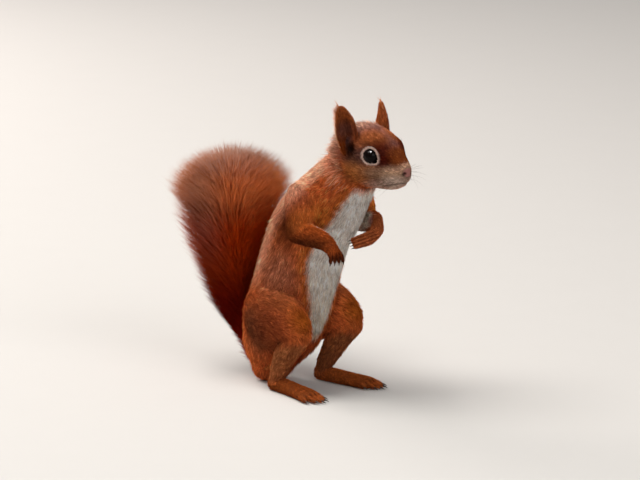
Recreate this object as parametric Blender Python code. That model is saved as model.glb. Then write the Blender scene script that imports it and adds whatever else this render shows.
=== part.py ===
"""Red squirrel sitting upright, built as lofts along the body's own curves.

Stations are in millimetres as (forward, left, height, half width, up, down):
a centre on the body's curve, then the half width to the animal's side and the
reach above and below the curve. The animal faces -Y with its left on +X.
"""
import math

import bmesh
import bpy
import numpy as np

# ---------------------------------------------------------------- sizes
MM = 0.001
GAP = 0.3                     # clear gap kept between neighbours, mm
CENTRE_FORWARD = 0.19       # forward position of the middle of the whole animal, mm

EYE_RADIUS = (5.3, 4.9, 5.1)  # along, across and up
EYE_CENTRE = (79.6, 12.2, 171.3)
EAR_SKIN = 1.3                # thickness of the ear shell
EAR_TURN = math.radians(45)   # the opening looks forward and outward
FINGER_COUNT = 4
FINGER_RADIUS = 1.42
FINGER_PITCH = 2.7
FINGER_SPLAY = {"right": (-0.5, 0.0, 0.35), "left": (-0.5, -0.35, -0.7)}  # change of the pitch
TOE_COUNT = 5
TOE_RADIUS = 1.55
TOE_PITCH = 3.1
TOE_LENGTHS = (6.5, 9.5, 10.5, 9.8, 6.8)
CLAW_RADIUS = 0.85
HAND_CLAW_RADIUS = 0.75
HAND_CLAW = 2.6
FOOT_CLAW = 4.2

TRUNK_SPAN = (0.0, 0.80)
NECK_SPAN = (0.80, 1.0)
TAIL_SPANS = {"tail_base": (0.0, 0.36), "tail_middle": (0.36, 0.66), "tail_tip": (0.66, 1.0)}

# ---------------------------------------------------------------- stations
BODY = [
    (-25, 0, 11.0, 18, 13, 12),
    (-21, 0, 24, 26, 23, 20),
    (-15, 0, 38, 29.5, 28, 26),
    (-9, 0, 56, 29.5, 29, 30),
    (-3, 0, 76, 28, 28, 30),
    (3, 0, 94, 27, 28, 30),
    (10, 0, 111, 26, 27, 30.5),
    (20, 0, 126, 24, 24.5, 31),
    (31, 0, 139, 21.5, 21, 29.5),
    (42, 0, 150, 19, 19, 26),
    (52, 0, 160, 17, 18.5, 21),
]
HEAD = [
    (45, 0, 168, 12, 12, 11),
    (50, 0, 169, 15.5, 16.2, 16),
    (57, 0, 169.5, 17.8, 19.8, 19.5),
    (65, 0, 169, 18.8, 20.6, 21.5),
    (72.7, 0, 168, 18.0, 19.4, 21.5),
    (79.8, 0, 166, 15.3, 17.4, 19.4),
    (85.1, 0, 164, 12.5, 15.3, 17.2),
    (90.4, 0, 162.5, 9.9, 12.8, 14.6),
    (95.7, 0, 162, 7.5, 9.6, 11.4),
    (99.3, 0, 162.2, 5.4, 6.0, 7.8),
    (101.0, 0, 162.3, 3.8, 3.6, 4.6),
]
TAIL = [
    (-30, 0, 11, 10, 9, 11),
    (-38, 0, 15, 10, 9, 10.5),
    (-45, 0, 24, 10.5, 9.5, 9.5),
    (-50, 0, 34, 12, 11, 11),
    (-54, 0, 43, 16, 14, 14),
    (-57.5, 0, 52, 21, 18.5, 18),
    (-61, 0, 66, 27, 23, 23),
    (-63.5, 0, 85, 33, 28, 27.5),
    (-65, 0, 100, 38, 31.5, 31.5),
    (-66, 0, 114, 42, 35, 35),
    (-66.3, 0, 127, 43.5, 36.3, 36.3),
    (-66.6, 0, 137, 41, 34.2, 34.2),
    (-67, 0, 146, 33.5, 28, 28),
    (-67.3, 0, 152, 23.5, 19.6, 19.6),
    (-67.5, 0, 155.5, 13, 11, 11),
]
THIGH = [
    (-17, 17, 50, 16, 23, 22),
    (-5, 20.5, 50, 16.5, 24, 23),
    (8, 23, 50, 14.5, 20.5, 20),
    (18, 24.5, 48, 12, 15.5, 14.5),
    (25, 24.5, 46, 10, 11, 11),
]
SHIN = [
    (24, 24.5, 43, 9.6, 10, 10),
    (15, 24, 33, 9, 9, 10),
    (8, 23.5, 22, 7.4, 7.2, 8),
    (2, 22.5, 12, 5.8, 5.6, 6.2),
    (0.5, 22, 7.5, 5, 5, 5),
]
FOOT = [
    (-3, 22, 4.8, 5.2, 5.0, 6.1),
    (8, 23, 4.8, 5.8, 5.0, 6.1),
    (22, 25, 4.2, 6.8, 4.3, 5.6),
    (34, 27, 3.7, 7.8, 3.7, 5.1),
    (39, 28, 3.2, 7.6, 3.2, 4.6),
]
EAR = [
    (65.0, 18.6, 169.5, 3.0, 5.0),
    (65.3, 19.0, 174.3, 5.2, 8.0),
    (64.6, 19.5, 182.0, 6.9, 9.2),
    (63.6, 19.9, 188.0, 6.9, 8.0),
    (62.2, 19.8, 194.0, 6.1, 5.8),
    (60.0, 19.6, 198.8, 4.5, 3.4),
    (58.8, 19.4, 201.2, 2.9, 2.4),
    (57.9, 19.3, 203.2, 1.5, 1.5),
]
EAR_DROP = {"right": 0.0, "left": 1.8}  # how much lower the tip of each ear stands
UPPER_ARM = {
    "right": [
        (14, -16, 139, 9, 9, 9),
        (20, -19.5, 134, 10.5, 13, 13),
        (25, -23, 128, 10.5, 13.5, 13.5),
        (27, -27, 121, 9.5, 11.5, 11.5),
        (27, -29.5, 115, 8, 8.5, 8.5),
    ],
    "left": [
        (22, 15, 143, 9, 9, 9),
        (28, 18.5, 137, 10.5, 13, 13),
        (32, 22.5, 130, 10.5, 13, 13),
        (32, 27, 122, 9.5, 11, 11),
        (30, 29, 115, 8, 8.5, 8.5),
    ],
}
FOREARM = {
    "right": [
        (25, -30.5, 114.5, 7.8, 8, 8),
        (35, -29.5, 114, 7.6, 7.8, 7.8),
        (44.5, -28.2, 113, 6.8, 7, 7),
        (53, -26.8, 110.5, 5.4, 5.6, 5.6),
    ],
    "left": [
        (26, 30, 113, 7.6, 7.6, 7.6),
        (36, 27, 115, 7.2, 7.2, 7.2),
        (47, 21.5, 119, 6.0, 6.0, 6.0),
        (55, 17, 121, 4.8, 4.8, 4.8),
    ],
}
PALM = {
    "right": [
        (53.5, -26.7, 110.2, 4.9, 5, 5),
        (56.5, -26.4, 107.4, 5.2, 4.4, 4.4),
        (58.6, -26, 104.4, 5.2, 3.6, 3.6),
    ],
    "left": [
        (56.0, 16.4, 121, 4.6, 4.6, 4.6),
        (59.5, 14.6, 118, 5, 4.1, 4.1),
        (61.0, 12.3, 114.6, 5.4, 3.5, 3.5),
    ],
}
PALM_HINT = {"right": (0.25, 1.0, 0.0), "left": (0.35, 0.15, -0.92)}
FINGER_CURVE = {
    "right": [(-0.8, 0.0, 1.6), (1.7, 0.2, -1.7), (2.0, 0.4, -4.2)],
    "left": [(-0.2, 1.0, 0.2), (-2.6, -4.6, -4.7), (-9.4, -11.0, -8.3)],
}

# ---------------------------------------------------------------- helpers


def place(points):
    """Turn (forward, left, height) in millimetres into the model's metres."""
    points = np.asarray(points, float)
    out = np.empty_like(points)
    out[:, 0] = points[:, 1]
    out[:, 1] = CENTRE_FORWARD - points[:, 0]
    out[:, 2] = points[:, 2]
    return out * MM


def through(rows, count, span=(0.0, 1.0)):
    """Smooth curve through the stations over a span, with the curve's own directions."""
    rows = np.asarray(rows, float)
    steps = np.linalg.norm(np.diff(rows[:, :3], axis=0), axis=1)
    knots = np.concatenate([[0.0], np.cumsum(np.sqrt(steps))])
    t = np.linspace(span[0], span[1], count) * knots[-1]
    before = (knots[1:-1] - knots[:-2])[:, None]
    after = (knots[2:] - knots[1:-1])[:, None]
    slope = np.diff(rows, axis=0) / np.diff(knots)[:, None]
    rate = np.empty_like(rows)
    rate[1:-1] = (slope[:-1] * after + slope[1:] * before) / (before + after)
    rate[0] = slope[0]
    rate[-1] = slope[-1]
    i = np.clip(np.searchsorted(knots, t, side="right") - 1, 0, len(rows) - 2)
    h = (knots[i + 1] - knots[i])[:, None]
    u = (t - knots[i])[:, None] / h
    start = (2 * u**3 - 3 * u**2 + 1) * rows[i] + (u**3 - 2 * u**2 + u) * h * rate[i]
    finish = (3 * u**2 - 2 * u**3) * rows[i + 1] + (u**3 - u**2) * h * rate[i + 1]
    turn = (6 * u**2 - 6 * u) / h * (rows[i] - rows[i + 1])
    turn = turn + (3 * u**2 - 4 * u + 1) * rate[i] + (3 * u**2 - 2 * u) * rate[i + 1]
    way = turn[:, :3] / np.linalg.norm(turn[:, :3], axis=1)[:, None]
    return start + finish, way


def other_side(rows):
    """The same stations on the animal's right."""
    return [(r[0], -r[1]) + tuple(r[2:]) for r in rows]


def make_object(name, vertices, faces, collection, flat_at_floor=False):
    """One closed, smooth-shaded mesh object from points and faces."""
    vertices = np.asarray(vertices, float)
    if flat_at_floor:
        vertices = vertices.copy()
        vertices[:, 2] = np.maximum(vertices[:, 2], 0.0)
    mesh = bpy.data.meshes.new(name)
    mesh.from_pydata(place(vertices).tolist(), [], faces)
    work = bmesh.new()
    work.from_mesh(mesh)
    bmesh.ops.recalc_face_normals(work, faces=work.faces[:])
    work.to_mesh(mesh)
    work.free()
    mesh.shade_smooth()
    obj = bpy.data.objects.new(name, mesh)
    collection.objects.link(obj)
    return obj


def grid_faces(rings, sides):
    """Quads round a stack of rings, closed by a fan at each end."""
    faces = []
    for i in range(rings - 1):
        for j in range(sides):
            a = i * sides + j
            b = i * sides + (j + 1) % sides
            faces.append((a, b, b + sides, a + sides))
    low = rings * sides
    high = low + 1
    top = (rings - 1) * sides
    for j in range(sides):
        k = (j + 1) % sides
        faces.append((low, k, j))
        faces.append((high, top + j, top + k))
    return faces


def section_axes(way, hint):
    """Side and up directions at each place along a curve."""
    hint = np.asarray(hint, float)
    side = hint - (way @ hint)[:, None] * way
    side /= np.linalg.norm(side, axis=1)[:, None]
    return side, np.cross(way, side)


def loft(name, rows, collection, rings=10, sides=16, hint=(0, 1, 0), roundness=2.0,
         caps=(0.6, 0.6), dome_steps=(60.0, 30.0), span=(0.0, 1.0), grow=0.0, trim=(0.0, 0.0),
         on_floor=False):
    """Closed loft of superellipse sections; each end is a dome or, with cap 0, flat."""
    s, tangent = through(rows, rings, span)
    centre = s[:, :3].copy()
    size = s[:, 3:6] + grow
    side, up = section_axes(tangent, hint)
    centre[0] += tangent[0] * trim[0]
    centre[-1] -= tangent[-1] * trim[1]
    blocks = []
    poles = []
    for end, cap in ((0, caps[0]), (-1, caps[1])):
        way = -tangent[end] if end == 0 else tangent[end]
        reach = size[end].mean() * cap
        dome = []
        if cap > 0:
            for degrees in dome_steps:
                a = math.radians(degrees)
                dome.append((centre[end] + way * reach * math.sin(a), size[end] * math.cos(a),
                             side[end], up[end]))
        poles.append(centre[end] + way * reach)
        blocks.append(dome)
    body = [(centre[i], size[i], side[i], up[i]) for i in range(rings)]
    stack = blocks[0] + body + blocks[1][::-1]
    angle = np.linspace(0.0, 2.0 * math.pi, sides, endpoint=False)
    c = np.sign(np.cos(angle)) * np.abs(np.cos(angle)) ** (2.0 / roundness)
    d = np.sign(np.sin(angle)) * np.abs(np.sin(angle)) ** (2.0 / roundness)
    points = []
    for mid, (w, rise, drop), across, upward in stack:
        reach = np.where(d > 0, rise, drop)
        points.append(mid + across * (w * c)[:, None] + upward * (reach * d)[:, None])
    points = np.vstack(points + [np.array(poles)])
    return make_object(name, points, grid_faces(len(stack), sides), collection, on_floor)


def ball(name, middle, radii, collection, grow=0.0):
    """Closed ellipsoid with its poles to the animal's sides."""
    work = bmesh.new()
    bmesh.ops.create_uvsphere(work, u_segments=12, v_segments=9, radius=1.0)
    along, across, up = (r + grow for r in radii)
    place_at = place([middle])[0]
    for v in work.verts:
        x, y, z = v.co
        v.co = (place_at[0] + z * across * MM, place_at[1] + y * along * MM,
                place_at[2] - x * up * MM)
    mesh = bpy.data.meshes.new(name)
    work.to_mesh(mesh)
    work.free()
    mesh.shade_smooth()
    obj = bpy.data.objects.new(name, mesh)
    collection.objects.link(obj)
    return obj


def lower_tip(rows, drop):
    """Ear stations with the tip let down, more the higher they stand."""
    foot, top = rows[0][2], rows[-1][2]
    return [(f, l, z - drop * (z - foot) / (top - foot), half, deep) for f, l, z, half, deep in rows]


def ear_shell(name, rows, turn, collection, rings=8, arc=8):
    """Scoop-shaped ear: each section is a crescent open towards the turned direction."""
    s = through(rows, rings)[0]
    opening = np.array([math.cos(turn), math.sin(turn), 0.0])
    across = np.array([-math.sin(turn), math.cos(turn), 0.0])
    angle = np.linspace(-90.0, 90.0, arc) * math.pi / 180.0
    blocks = []
    for f, l, z, half, deep in s:
        thin = min(EAR_SKIN, half * 0.62, deep * 0.62)
        back = np.outer(np.sin(angle) * half, across) - np.outer(np.cos(angle) * deep, opening)
        inner = np.sin(angle[::-1]) * (half - thin)
        scoop = np.cos(angle[::-1]) * (deep - thin)
        front = np.outer(inner, across) - np.outer(scoop, opening) + 0.25 * thin * opening
        blocks.append(np.vstack([back, front]) + np.array([f, l, z]))
    around = 2 * arc
    faces = []
    for i in range(rings - 1):
        for j in range(around):
            a = i * around + j
            b = i * around + (j + 1) % around
            faces.append((a, b, b + around, a + around))
    top = (rings - 1) * around
    for j in range(arc - 1):
        k = around - 1 - j
        faces.append((j, k, k - 1, j + 1))
        faces.append((top + j, top + j + 1, top + k - 1, top + k))
    return make_object(name, np.vstack(blocks), faces, collection)


def claw(name, tip_of_digit, way, curl, length, thick, collection):
    """Small curved cone starting just clear of the digit's end."""
    way = np.asarray(way, float) / np.linalg.norm(way)
    curl = np.asarray(curl, float)
    start = np.asarray(tip_of_digit, float) + way * GAP
    rows = []
    for step in (0.0, 0.35, 0.7, 1.0):
        mid = start + way * length * step + curl * length * 0.32 * step**2
        r = thick * (1.0 - 0.82 * step)
        rows.append(tuple(mid) + (r * 0.8, r, r))
    hint = np.cross(way, curl) + np.array([0.0, 1e-6, 0.0])
    return loft(name, rows, collection, rings=3, sides=5, hint=hint, caps=(0.0, 0.5),
                dome_steps=(), on_floor=True)


def boolean(target, tool, operation):
    """Live exact Boolean on the target."""
    step = target.modifiers.new(operation.title() + " " + tool.name, "BOOLEAN")
    step.operation = operation
    step.solver = "EXACT"
    step.object = tool


def colour(obj, rgb):
    """One plain material of the object's own."""
    material = bpy.data.materials.new(obj.name)
    material.use_nodes = True
    shader = material.node_tree.nodes["Principled BSDF"]
    shader.inputs["Base Color"].default_value = (rgb[0], rgb[1], rgb[2], 1.0)
    shader.inputs["Roughness"].default_value = 0.8
    obj.data.materials.append(material)


# ---------------------------------------------------------------- start clean
for old in list(bpy.data.objects):
    bpy.data.objects.remove(old, do_unlink=True)
squirrel = bpy.data.collections.new("red_squirrel")
bpy.context.scene.collection.children.link(squirrel)
tools = bpy.data.collections.new("cutters")
bpy.context.scene.collection.children.link(tools)

# ---------------------------------------------------------------- body
# Each recipe can be made as the part itself or, grown by the gap, as a cutter.
SIDES = ("left", "right")
recipes = {}


def add_loft(name, rows, **options):
    recipes[name] = (rows, options)


add_loft("trunk", BODY, rings=15, sides=20, roundness=2.1, caps=(0.95, 0.0), span=TRUNK_SPAN,
         on_floor=True)
add_loft("neck", BODY, rings=5, sides=20, roundness=2.1, caps=(0.0, 0.3), span=NECK_SPAN)
add_loft("head", HEAD, rings=15, sides=20, roundness=2.15, caps=(0.7, 0.35))
for piece, part_span in TAIL_SPANS.items():
    add_loft(piece, TAIL, rings=8, sides=18, span=part_span, on_floor=True,
             caps=(0.5 if piece == "tail_base" else 0.0, 0.12 if piece == "tail_tip" else 0.0))
for flank in SIDES:
    turn_over = other_side if flank == "right" else list
    add_loft("thigh_" + flank, turn_over(THIGH), rings=7, sides=14)
    add_loft("shin_" + flank, turn_over(SHIN), rings=6, sides=10)
    add_loft("foot_" + flank, turn_over(FOOT), rings=6, sides=12, on_floor=True, caps=(0.8, 0.5))
    add_loft("upper_arm_" + flank, UPPER_ARM[flank], rings=6, sides=12)
    add_loft("forearm_" + flank, FOREARM[flank], rings=4, sides=10)
    add_loft("hand_" + flank, PALM[flank], rings=4, sides=10, hint=PALM_HINT[flank],
             dome_steps=(45.0,))


def build(name):
    rows, options = recipes[name]
    trim = {"neck": (GAP, 0.0), "tail_middle": (GAP, 0.0), "tail_tip": (GAP, 0.0)}
    return loft(name, rows, squirrel, trim=trim.get(name, (0.0, 0.0)), **options)


cutters = {}


def cutter(name):
    """The named part grown by the gap, kept out of sight."""
    if name not in cutters:
        if name in recipes:
            rows, options = recipes[name]
            grown = dict(options)
            grown["on_floor"] = False
            tool = loft("cut_" + name, rows, tools, grow=GAP, trim=(-GAP, -GAP), **grown)
        else:
            side_sign = 1.0 if name.endswith("left") else -1.0
            middle = (EYE_CENTRE[0], side_sign * EYE_CENTRE[1], EYE_CENTRE[2])
            tool = ball("cut_" + name, middle, EYE_RADIUS, tools, grow=GAP)
        tool.hide_render = True
        tool.display_type = "WIRE"
        cutters[name] = tool
    return cutters[name]


nodes = {name: build(name) for name in recipes}
for flank in SIDES:
    sign = 1.0 if flank == "left" else -1.0
    middle = (EYE_CENTRE[0], sign * EYE_CENTRE[1], EYE_CENTRE[2])
    nodes["eye_" + flank] = ball("eye_" + flank, middle, EYE_RADIUS, squirrel)
    ear_rows = lower_tip(EAR, EAR_DROP[flank])
    ear_rows = ear_rows if flank == "left" else other_side(ear_rows)
    nodes["ear_" + flank] = ear_shell("ear_" + flank, ear_rows, sign * EAR_TURN, squirrel)

# ---------------------------------------------------------------- digits


def digit(owner, name, points, radius):
    """Finger or toe joined to its hand or foot."""
    rows = [tuple(p) + (r, r, r) for p, r in zip(points, (radius, radius * 0.95, radius * 0.8))]
    hint = (0.3, 1, 0.2) if "right" in name or "toe" in name else (0.5, 0.2, -0.8)
    floor = "toe" in name
    tool = loft(name, rows, tools, rings=4, sides=6, hint=hint, caps=(0.6, 0.9),
                dome_steps=(45.0,), on_floor=floor)
    tool.hide_render = True
    tool.display_type = "WIRE"
    boolean(owner, tool, "UNION")
    end = np.asarray(points[-1], float)
    way = end - np.asarray(points[-2], float)
    way /= np.linalg.norm(way)
    return end + way * radius * 0.8 * 0.9, way


for flank in SIDES:
    row_way = np.asarray(PALM_HINT[flank], float)
    row_way /= np.linalg.norm(row_way)
    knuckle = np.asarray(PALM[flank][-1][:3], float)
    for i in range(FINGER_COUNT):
        fan = i - 0.5 * (FINGER_COUNT - 1)
        curve = [knuckle + row_way * fan * (FINGER_PITCH + splay) + np.asarray(p)
                 for p, splay in zip(FINGER_CURVE[flank], FINGER_SPLAY[flank])]
        name = "finger_%s_%d" % (flank, i + 1)
        end, way = digit(nodes["hand_" + flank], name, curve, FINGER_RADIUS)
        bend = np.array([-0.8, 0.0, -0.4])
        tip_name = "claw_hand_%s_%d" % (flank, i + 1)
        nodes[tip_name] = claw(tip_name, end, way, bend, HAND_CLAW, HAND_CLAW_RADIUS, squirrel)
    sign = 1.0 if flank == "left" else -1.0
    root = np.asarray(FOOT[-1][:3], float)
    for i in range(TOE_COUNT):
        fan = (i - 0.5 * (TOE_COUNT - 1))
        length = TOE_LENGTHS[i]
        base = root + np.array([-2.0 - 0.7 * fan**2, fan * TOE_PITCH, -0.9])
        tip = base + np.array([length, fan * 0.9, -0.2])
        mid = 0.5 * (base + tip) + np.array([0.0, 0.0, 0.7])
        curve = [p * np.array([1.0, sign, 1.0]) for p in (base, mid, tip)]
        name = "toe_%s_%d" % (flank, i + 1)
        end, way = digit(nodes["foot_" + flank], name, curve, TOE_RADIUS)
        way = np.array([1.0, sign * 0.09 * fan, 0.12])
        tip_name = "claw_foot_%s_%d" % (flank, i + 1)
        nodes[tip_name] = claw(tip_name, end, way, (0.0, 0.0, -1.0), FOOT_CLAW, CLAW_RADIUS, squirrel)

# ---------------------------------------------------------------- clearances
CLEAR = {
    "neck": ["head"],
    "head": ["eye_left", "eye_right"],
    "tail_base": ["trunk"],
    "tail_middle": ["trunk"],
}
for flank in SIDES:
    CLEAR["ear_" + flank] = ["head"]
    CLEAR["thigh_" + flank] = ["trunk"]
    CLEAR["shin_" + flank] = ["thigh_" + flank, "trunk"]
    CLEAR["foot_" + flank] = ["shin_" + flank]
    CLEAR["upper_arm_" + flank] = ["trunk", "neck"]
    CLEAR["forearm_" + flank] = ["upper_arm_" + flank, "trunk"]
    CLEAR["hand_" + flank] = ["forearm_" + flank]
for name, neighbours in CLEAR.items():
    for neighbour in neighbours:
        boolean(nodes[name], cutter(neighbour), "DIFFERENCE")

# ---------------------------------------------------------------- colours
COAT = (0.36, 0.12, 0.04)
for name, obj in nodes.items():
    if name.startswith("claw"):
        colour(obj, (0.05, 0.04, 0.035))
    elif name.startswith("eye"):
        colour(obj, (0.01, 0.01, 0.01))
    elif name.startswith("ear"):
        colour(obj, (0.30, 0.10, 0.05))
    elif name.startswith("tail"):
        colour(obj, (0.25, 0.07, 0.03))
    else:
        colour(obj, COAT)
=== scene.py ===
"""Red squirrel sitting upright: skin, coat, eyes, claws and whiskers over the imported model."""
import math

import bpy
import numpy as np
from mathutils import Matrix, Vector
from mathutils.bvhtree import BVHTree
from mathutils.kdtree import KDTree


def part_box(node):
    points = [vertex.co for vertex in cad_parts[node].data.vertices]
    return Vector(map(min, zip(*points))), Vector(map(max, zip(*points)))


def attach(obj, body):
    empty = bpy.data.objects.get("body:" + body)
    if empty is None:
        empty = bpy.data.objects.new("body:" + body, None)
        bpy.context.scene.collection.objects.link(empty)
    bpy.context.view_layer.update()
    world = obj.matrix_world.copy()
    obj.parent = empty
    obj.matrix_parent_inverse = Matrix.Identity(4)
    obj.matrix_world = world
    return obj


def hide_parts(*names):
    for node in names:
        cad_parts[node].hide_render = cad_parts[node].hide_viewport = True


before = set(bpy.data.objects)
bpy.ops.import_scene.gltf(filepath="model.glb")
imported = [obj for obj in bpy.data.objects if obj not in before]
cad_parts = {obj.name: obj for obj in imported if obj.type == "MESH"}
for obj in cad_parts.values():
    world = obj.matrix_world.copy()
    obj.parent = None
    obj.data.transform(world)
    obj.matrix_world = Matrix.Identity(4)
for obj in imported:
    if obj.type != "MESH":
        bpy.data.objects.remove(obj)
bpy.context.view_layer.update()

bl_info = {
    "name": "Red squirrel",
    "version": (1, 0, 0),
    "blender": (4, 5, 0),
    "location": "View3D > Sidebar > Squirrel",
    "description": "Makes a sitting red squirrel with skin, coat, eyes, claws and whiskers",
    "category": "Object",
}

# ------------------------------------------------------------------ sizes
# Places are (forward, left, height) in millimetres; the frame's origin lies CENTRE_FORWARD ahead.
MM = 0.001
CENTRE_FORWARD = 0.19
SIDES = {"left": 1.0, "right": -1.0}
EYE_CENTRE = np.array([79.6, 12.2, 171.3])
EYE_RADIUS = 5.05
EYE_WAY = np.array([0.30, 0.94, 0.14]) / np.linalg.norm([0.30, 0.94, 0.14])
EAR_PIT = np.array([65.6, 17.6, 174.6])
# The ears open halfway between forwards and outwards, and their walls have this thickness.
EAR_TURN = math.radians(45)
EAR_WALL = 1.25

# Stations are (forward, left, height, half width, up, down), as on the solids, and those of the
# ears (forward, left, height, half width, depth).
BODY = [
    (-25, 0, 11.0, 18, 13, 12), (-21, 0, 24, 26, 23, 20), (-15, 0, 38, 29.5, 28, 26),
    (-9, 0, 56, 29.5, 29, 30), (-3, 0, 76, 28, 28, 30), (3, 0, 94, 27, 28, 30),
    (10, 0, 111, 26, 27, 30.5), (20, 0, 126, 24, 24.5, 31), (31, 0, 139, 21.5, 21, 29.5),
    (42, 0, 150, 19, 19, 26), (52, 0, 160, 17, 18.5, 21),
]
HEAD = [
    (45, 0, 168, 12, 12, 11), (50, 0, 169, 15.5, 16.2, 16), (57, 0, 169.5, 17.8, 19.8, 19.5),
    (65, 0, 169, 18.8, 20.6, 21.5), (72.7, 0, 168, 18.0, 19.4, 21.5),
    (79.8, 0, 166, 15.3, 17.4, 19.4), (85.1, 0, 164, 12.5, 15.3, 17.2),
    (90.4, 0, 162.5, 9.9, 12.8, 14.6), (95.7, 0, 162, 7.5, 9.6, 11.4),
    (99.3, 0, 162.2, 5.4, 6.0, 7.8), (101.0, 0, 162.3, 3.8, 3.6, 4.6),
]
TAIL = [
    (-30, 0, 11, 10, 9, 11), (-38, 0, 15, 10, 9, 10.5), (-45, 0, 24, 10.5, 9.5, 9.5),
    (-50, 0, 34, 12, 11, 11), (-54, 0, 43, 16, 14, 14), (-57.5, 0, 52, 21, 18.5, 18),
    (-61, 0, 66, 27, 23, 23), (-63.5, 0, 85, 33, 28, 27.5), (-65, 0, 100, 38, 31.5, 31.5),
    (-66, 0, 114, 42, 35, 35), (-66.3, 0, 127, 43.5, 36.3, 36.3),
    (-66.6, 0, 137, 41, 34.2, 34.2), (-67, 0, 146, 33.5, 28, 28),
    (-67.3, 0, 152, 23.5, 19.6, 19.6), (-67.5, 0, 155.5, 13, 11, 11),
]
TAIL_CORE = [
    (-26, 0, 12, 9, 8, 9), (-34, 0, 14, 7.5, 7, 8), (-42, 0, 20, 6.5, 6, 6.5),
    (-49, 0, 32, 5.2, 5, 5), (-54, 0, 44, 4.6, 4.5, 4.5), (-60, 0, 64, 4.2, 4, 4),
    (-64, 0, 90, 3.8, 3.6, 3.6), (-66, 0, 115, 3.2, 3, 3), (-66.5, 0, 131, 2.4, 2.2, 2.2),
]
THIGH = [
    (-17, 17, 50, 16, 23, 22), (-5, 20.5, 50, 16.5, 24, 23), (8, 23, 50, 14.5, 20.5, 20),
    (18, 24.5, 48, 12, 15.5, 14.5), (25, 24.5, 46, 10, 11, 11),
]
SHIN = [
    (24, 24.5, 43, 9.6, 10, 10), (15, 24, 33, 9, 9, 10), (8, 23.5, 22, 7.4, 7.2, 8),
    (2, 22.5, 12, 5.8, 5.6, 6.2), (0.5, 22, 7.5, 5, 5, 5),
]
FOOT = [
    (-3, 22, 4.8, 5.2, 5.0, 6.1), (8, 23, 4.8, 5.8, 5.0, 6.1), (22, 25, 4.2, 6.8, 4.3, 5.6),
    (34, 27, 3.7, 7.8, 3.7, 5.1), (39, 28, 3.2, 7.6, 3.2, 4.6),
]
EAR = [
    (65.0, 18.6, 169.5, 3.0, 5.0), (65.3, 19.0, 174.3, 5.0, 7.8), (64.6, 19.5, 182.0, 6.6, 9.0),
    (63.6, 19.9, 188.0, 6.6, 7.8), (62.2, 19.8, 194.0, 5.8, 5.5), (60.1, 19.6, 198.6, 4.2, 3.2),
    (59.0, 19.4, 200.9, 2.7, 2.2), (58.3, 19.3, 202.4, 1.4, 1.3),
]
EAR_DROP = {"right": 0.0, "left": 1.8}
UPPER_ARM = {
    "right": [(14, -16, 139, 9, 9, 9), (20, -19.5, 134, 10.5, 13, 13),
              (25, -23, 128, 10.5, 13.5, 13.5), (27, -27, 121, 9.5, 11.5, 11.5),
              (27, -29.5, 115, 8, 8.5, 8.5)],
    "left": [(22, 15, 143, 9, 9, 9), (28, 18.5, 137, 10.5, 13, 13),
             (32, 22.5, 130, 10.5, 13, 13), (32, 27, 122, 9.5, 11, 11),
             (30, 29, 115, 8, 8.5, 8.5)],
}
FOREARM = {
    "right": [(25, -30.5, 114.5, 7.8, 8, 8), (35, -29.5, 114, 7.6, 7.8, 7.8),
              (44.5, -28.2, 113, 6.8, 7, 7), (53, -26.8, 110.5, 5.4, 5.6, 5.6)],
    "left": [(26, 30, 113, 7.6, 7.6, 7.6), (36, 27, 115, 7.2, 7.2, 7.2),
             (47, 21.5, 119, 6.0, 6.0, 6.0), (55, 17, 121, 4.8, 4.8, 4.8)],
}
PALM = {
    "right": [(53.5, -26.7, 110.2, 4.9, 5, 5), (56.5, -26.4, 107.4, 5.2, 4.4, 4.4),
              (58.6, -26, 104.4, 5.2, 3.6, 3.6)],
    "left": [(56.0, 16.4, 121, 4.6, 4.6, 4.6), (59.5, 14.6, 118, 5, 4.1, 4.1),
             (61.0, 12.3, 114.6, 5.4, 3.5, 3.5)],
}
# Fingers: way across the palm, a curve from the knuckle, the pitch across the palm and its change
# along the curve, radii, section hints and the pitch of the grooves between them.
PALM_HINT = {"right": (0.25, 1.0, 0.0), "left": (0.35, 0.15, -0.92)}
FINGER_CURVE = {
    "right": [(-0.8, 0.0, 1.6), (1.7, 0.2, -1.7), (2.0, 0.4, -4.2)],
    "left": [(-0.2, 1.0, 0.2), (-2.6, -4.6, -4.7), (-9.4, -11.0, -8.3)],
}
FINGER_PITCH = 2.7
FINGER_SPLAY = {"right": (-0.5, 0.0, 0.35), "left": (-0.5, -0.35, -0.7)}
FINGER_RADII = {"right": (1.32, 1.24, 1.06), "left": (1.26, 1.12, 0.98)}
FINGER_HINT = {"right": (0.3, 1, 0.2), "left": (0.5, 0.2, -0.8)}
GROOVE_PITCH = {"right": 2.7, "left": 2.2}
# Toes: the pitch across the foot, lengths, radii and section hint.
TOE_PITCH = 3.1
TOE_LENGTHS = (6.5, 9.5, 10.5, 9.8, 6.8)
TOE_RADII = (1.34, 1.24, 1.08)
TOE_HINT = (0.3, 1, 0.2)
# The tail's outline is closed above its widest station by half an ellipsoid of this height.
BRUSH_WIDEST = (-66.4, 0, 130, 45.5, 38.5, 38.5)
BRUSH_DOME = 27.0

# Grid of the fused skin, triangles left after thinning, rings of a dome that closes a loft, the
# least radius of a loft's section, and rings and sides of an eyeball.
VOXEL = 0.5
SKIN_TRIANGLES = 165000
DOME_RINGS = 5
LEAST_RADIUS = 0.35
BALL_RINGS = 31
BALL_SIDES = 64

# Depth in millimetres that the coat fills between the skin and the outline, part by part.
DEPTH = {
    "trunk": 2.7, "neck": 2.4, "head": 1.2, "tail": 3.0, "thigh": 2.4, "shin": 1.6, "foot": 0.7,
    "upper arm": 2.0, "forearm": 1.4, "hand": 0.45, "ear": 0.2,
}
PART_NAMES = list(DEPTH)
HAIR_LENGTHS = {
    "trunk": 7.5, "neck": 6.5, "head": 3.8, "tail": 8.0, "thigh": 6.8, "shin": 4.8, "foot": 2.8,
    "upper arm": 6.2, "forearm": 4.0, "hand": 2.0, "ear": 2.6,
}
LONGEST_HAIR = 0.05
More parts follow.
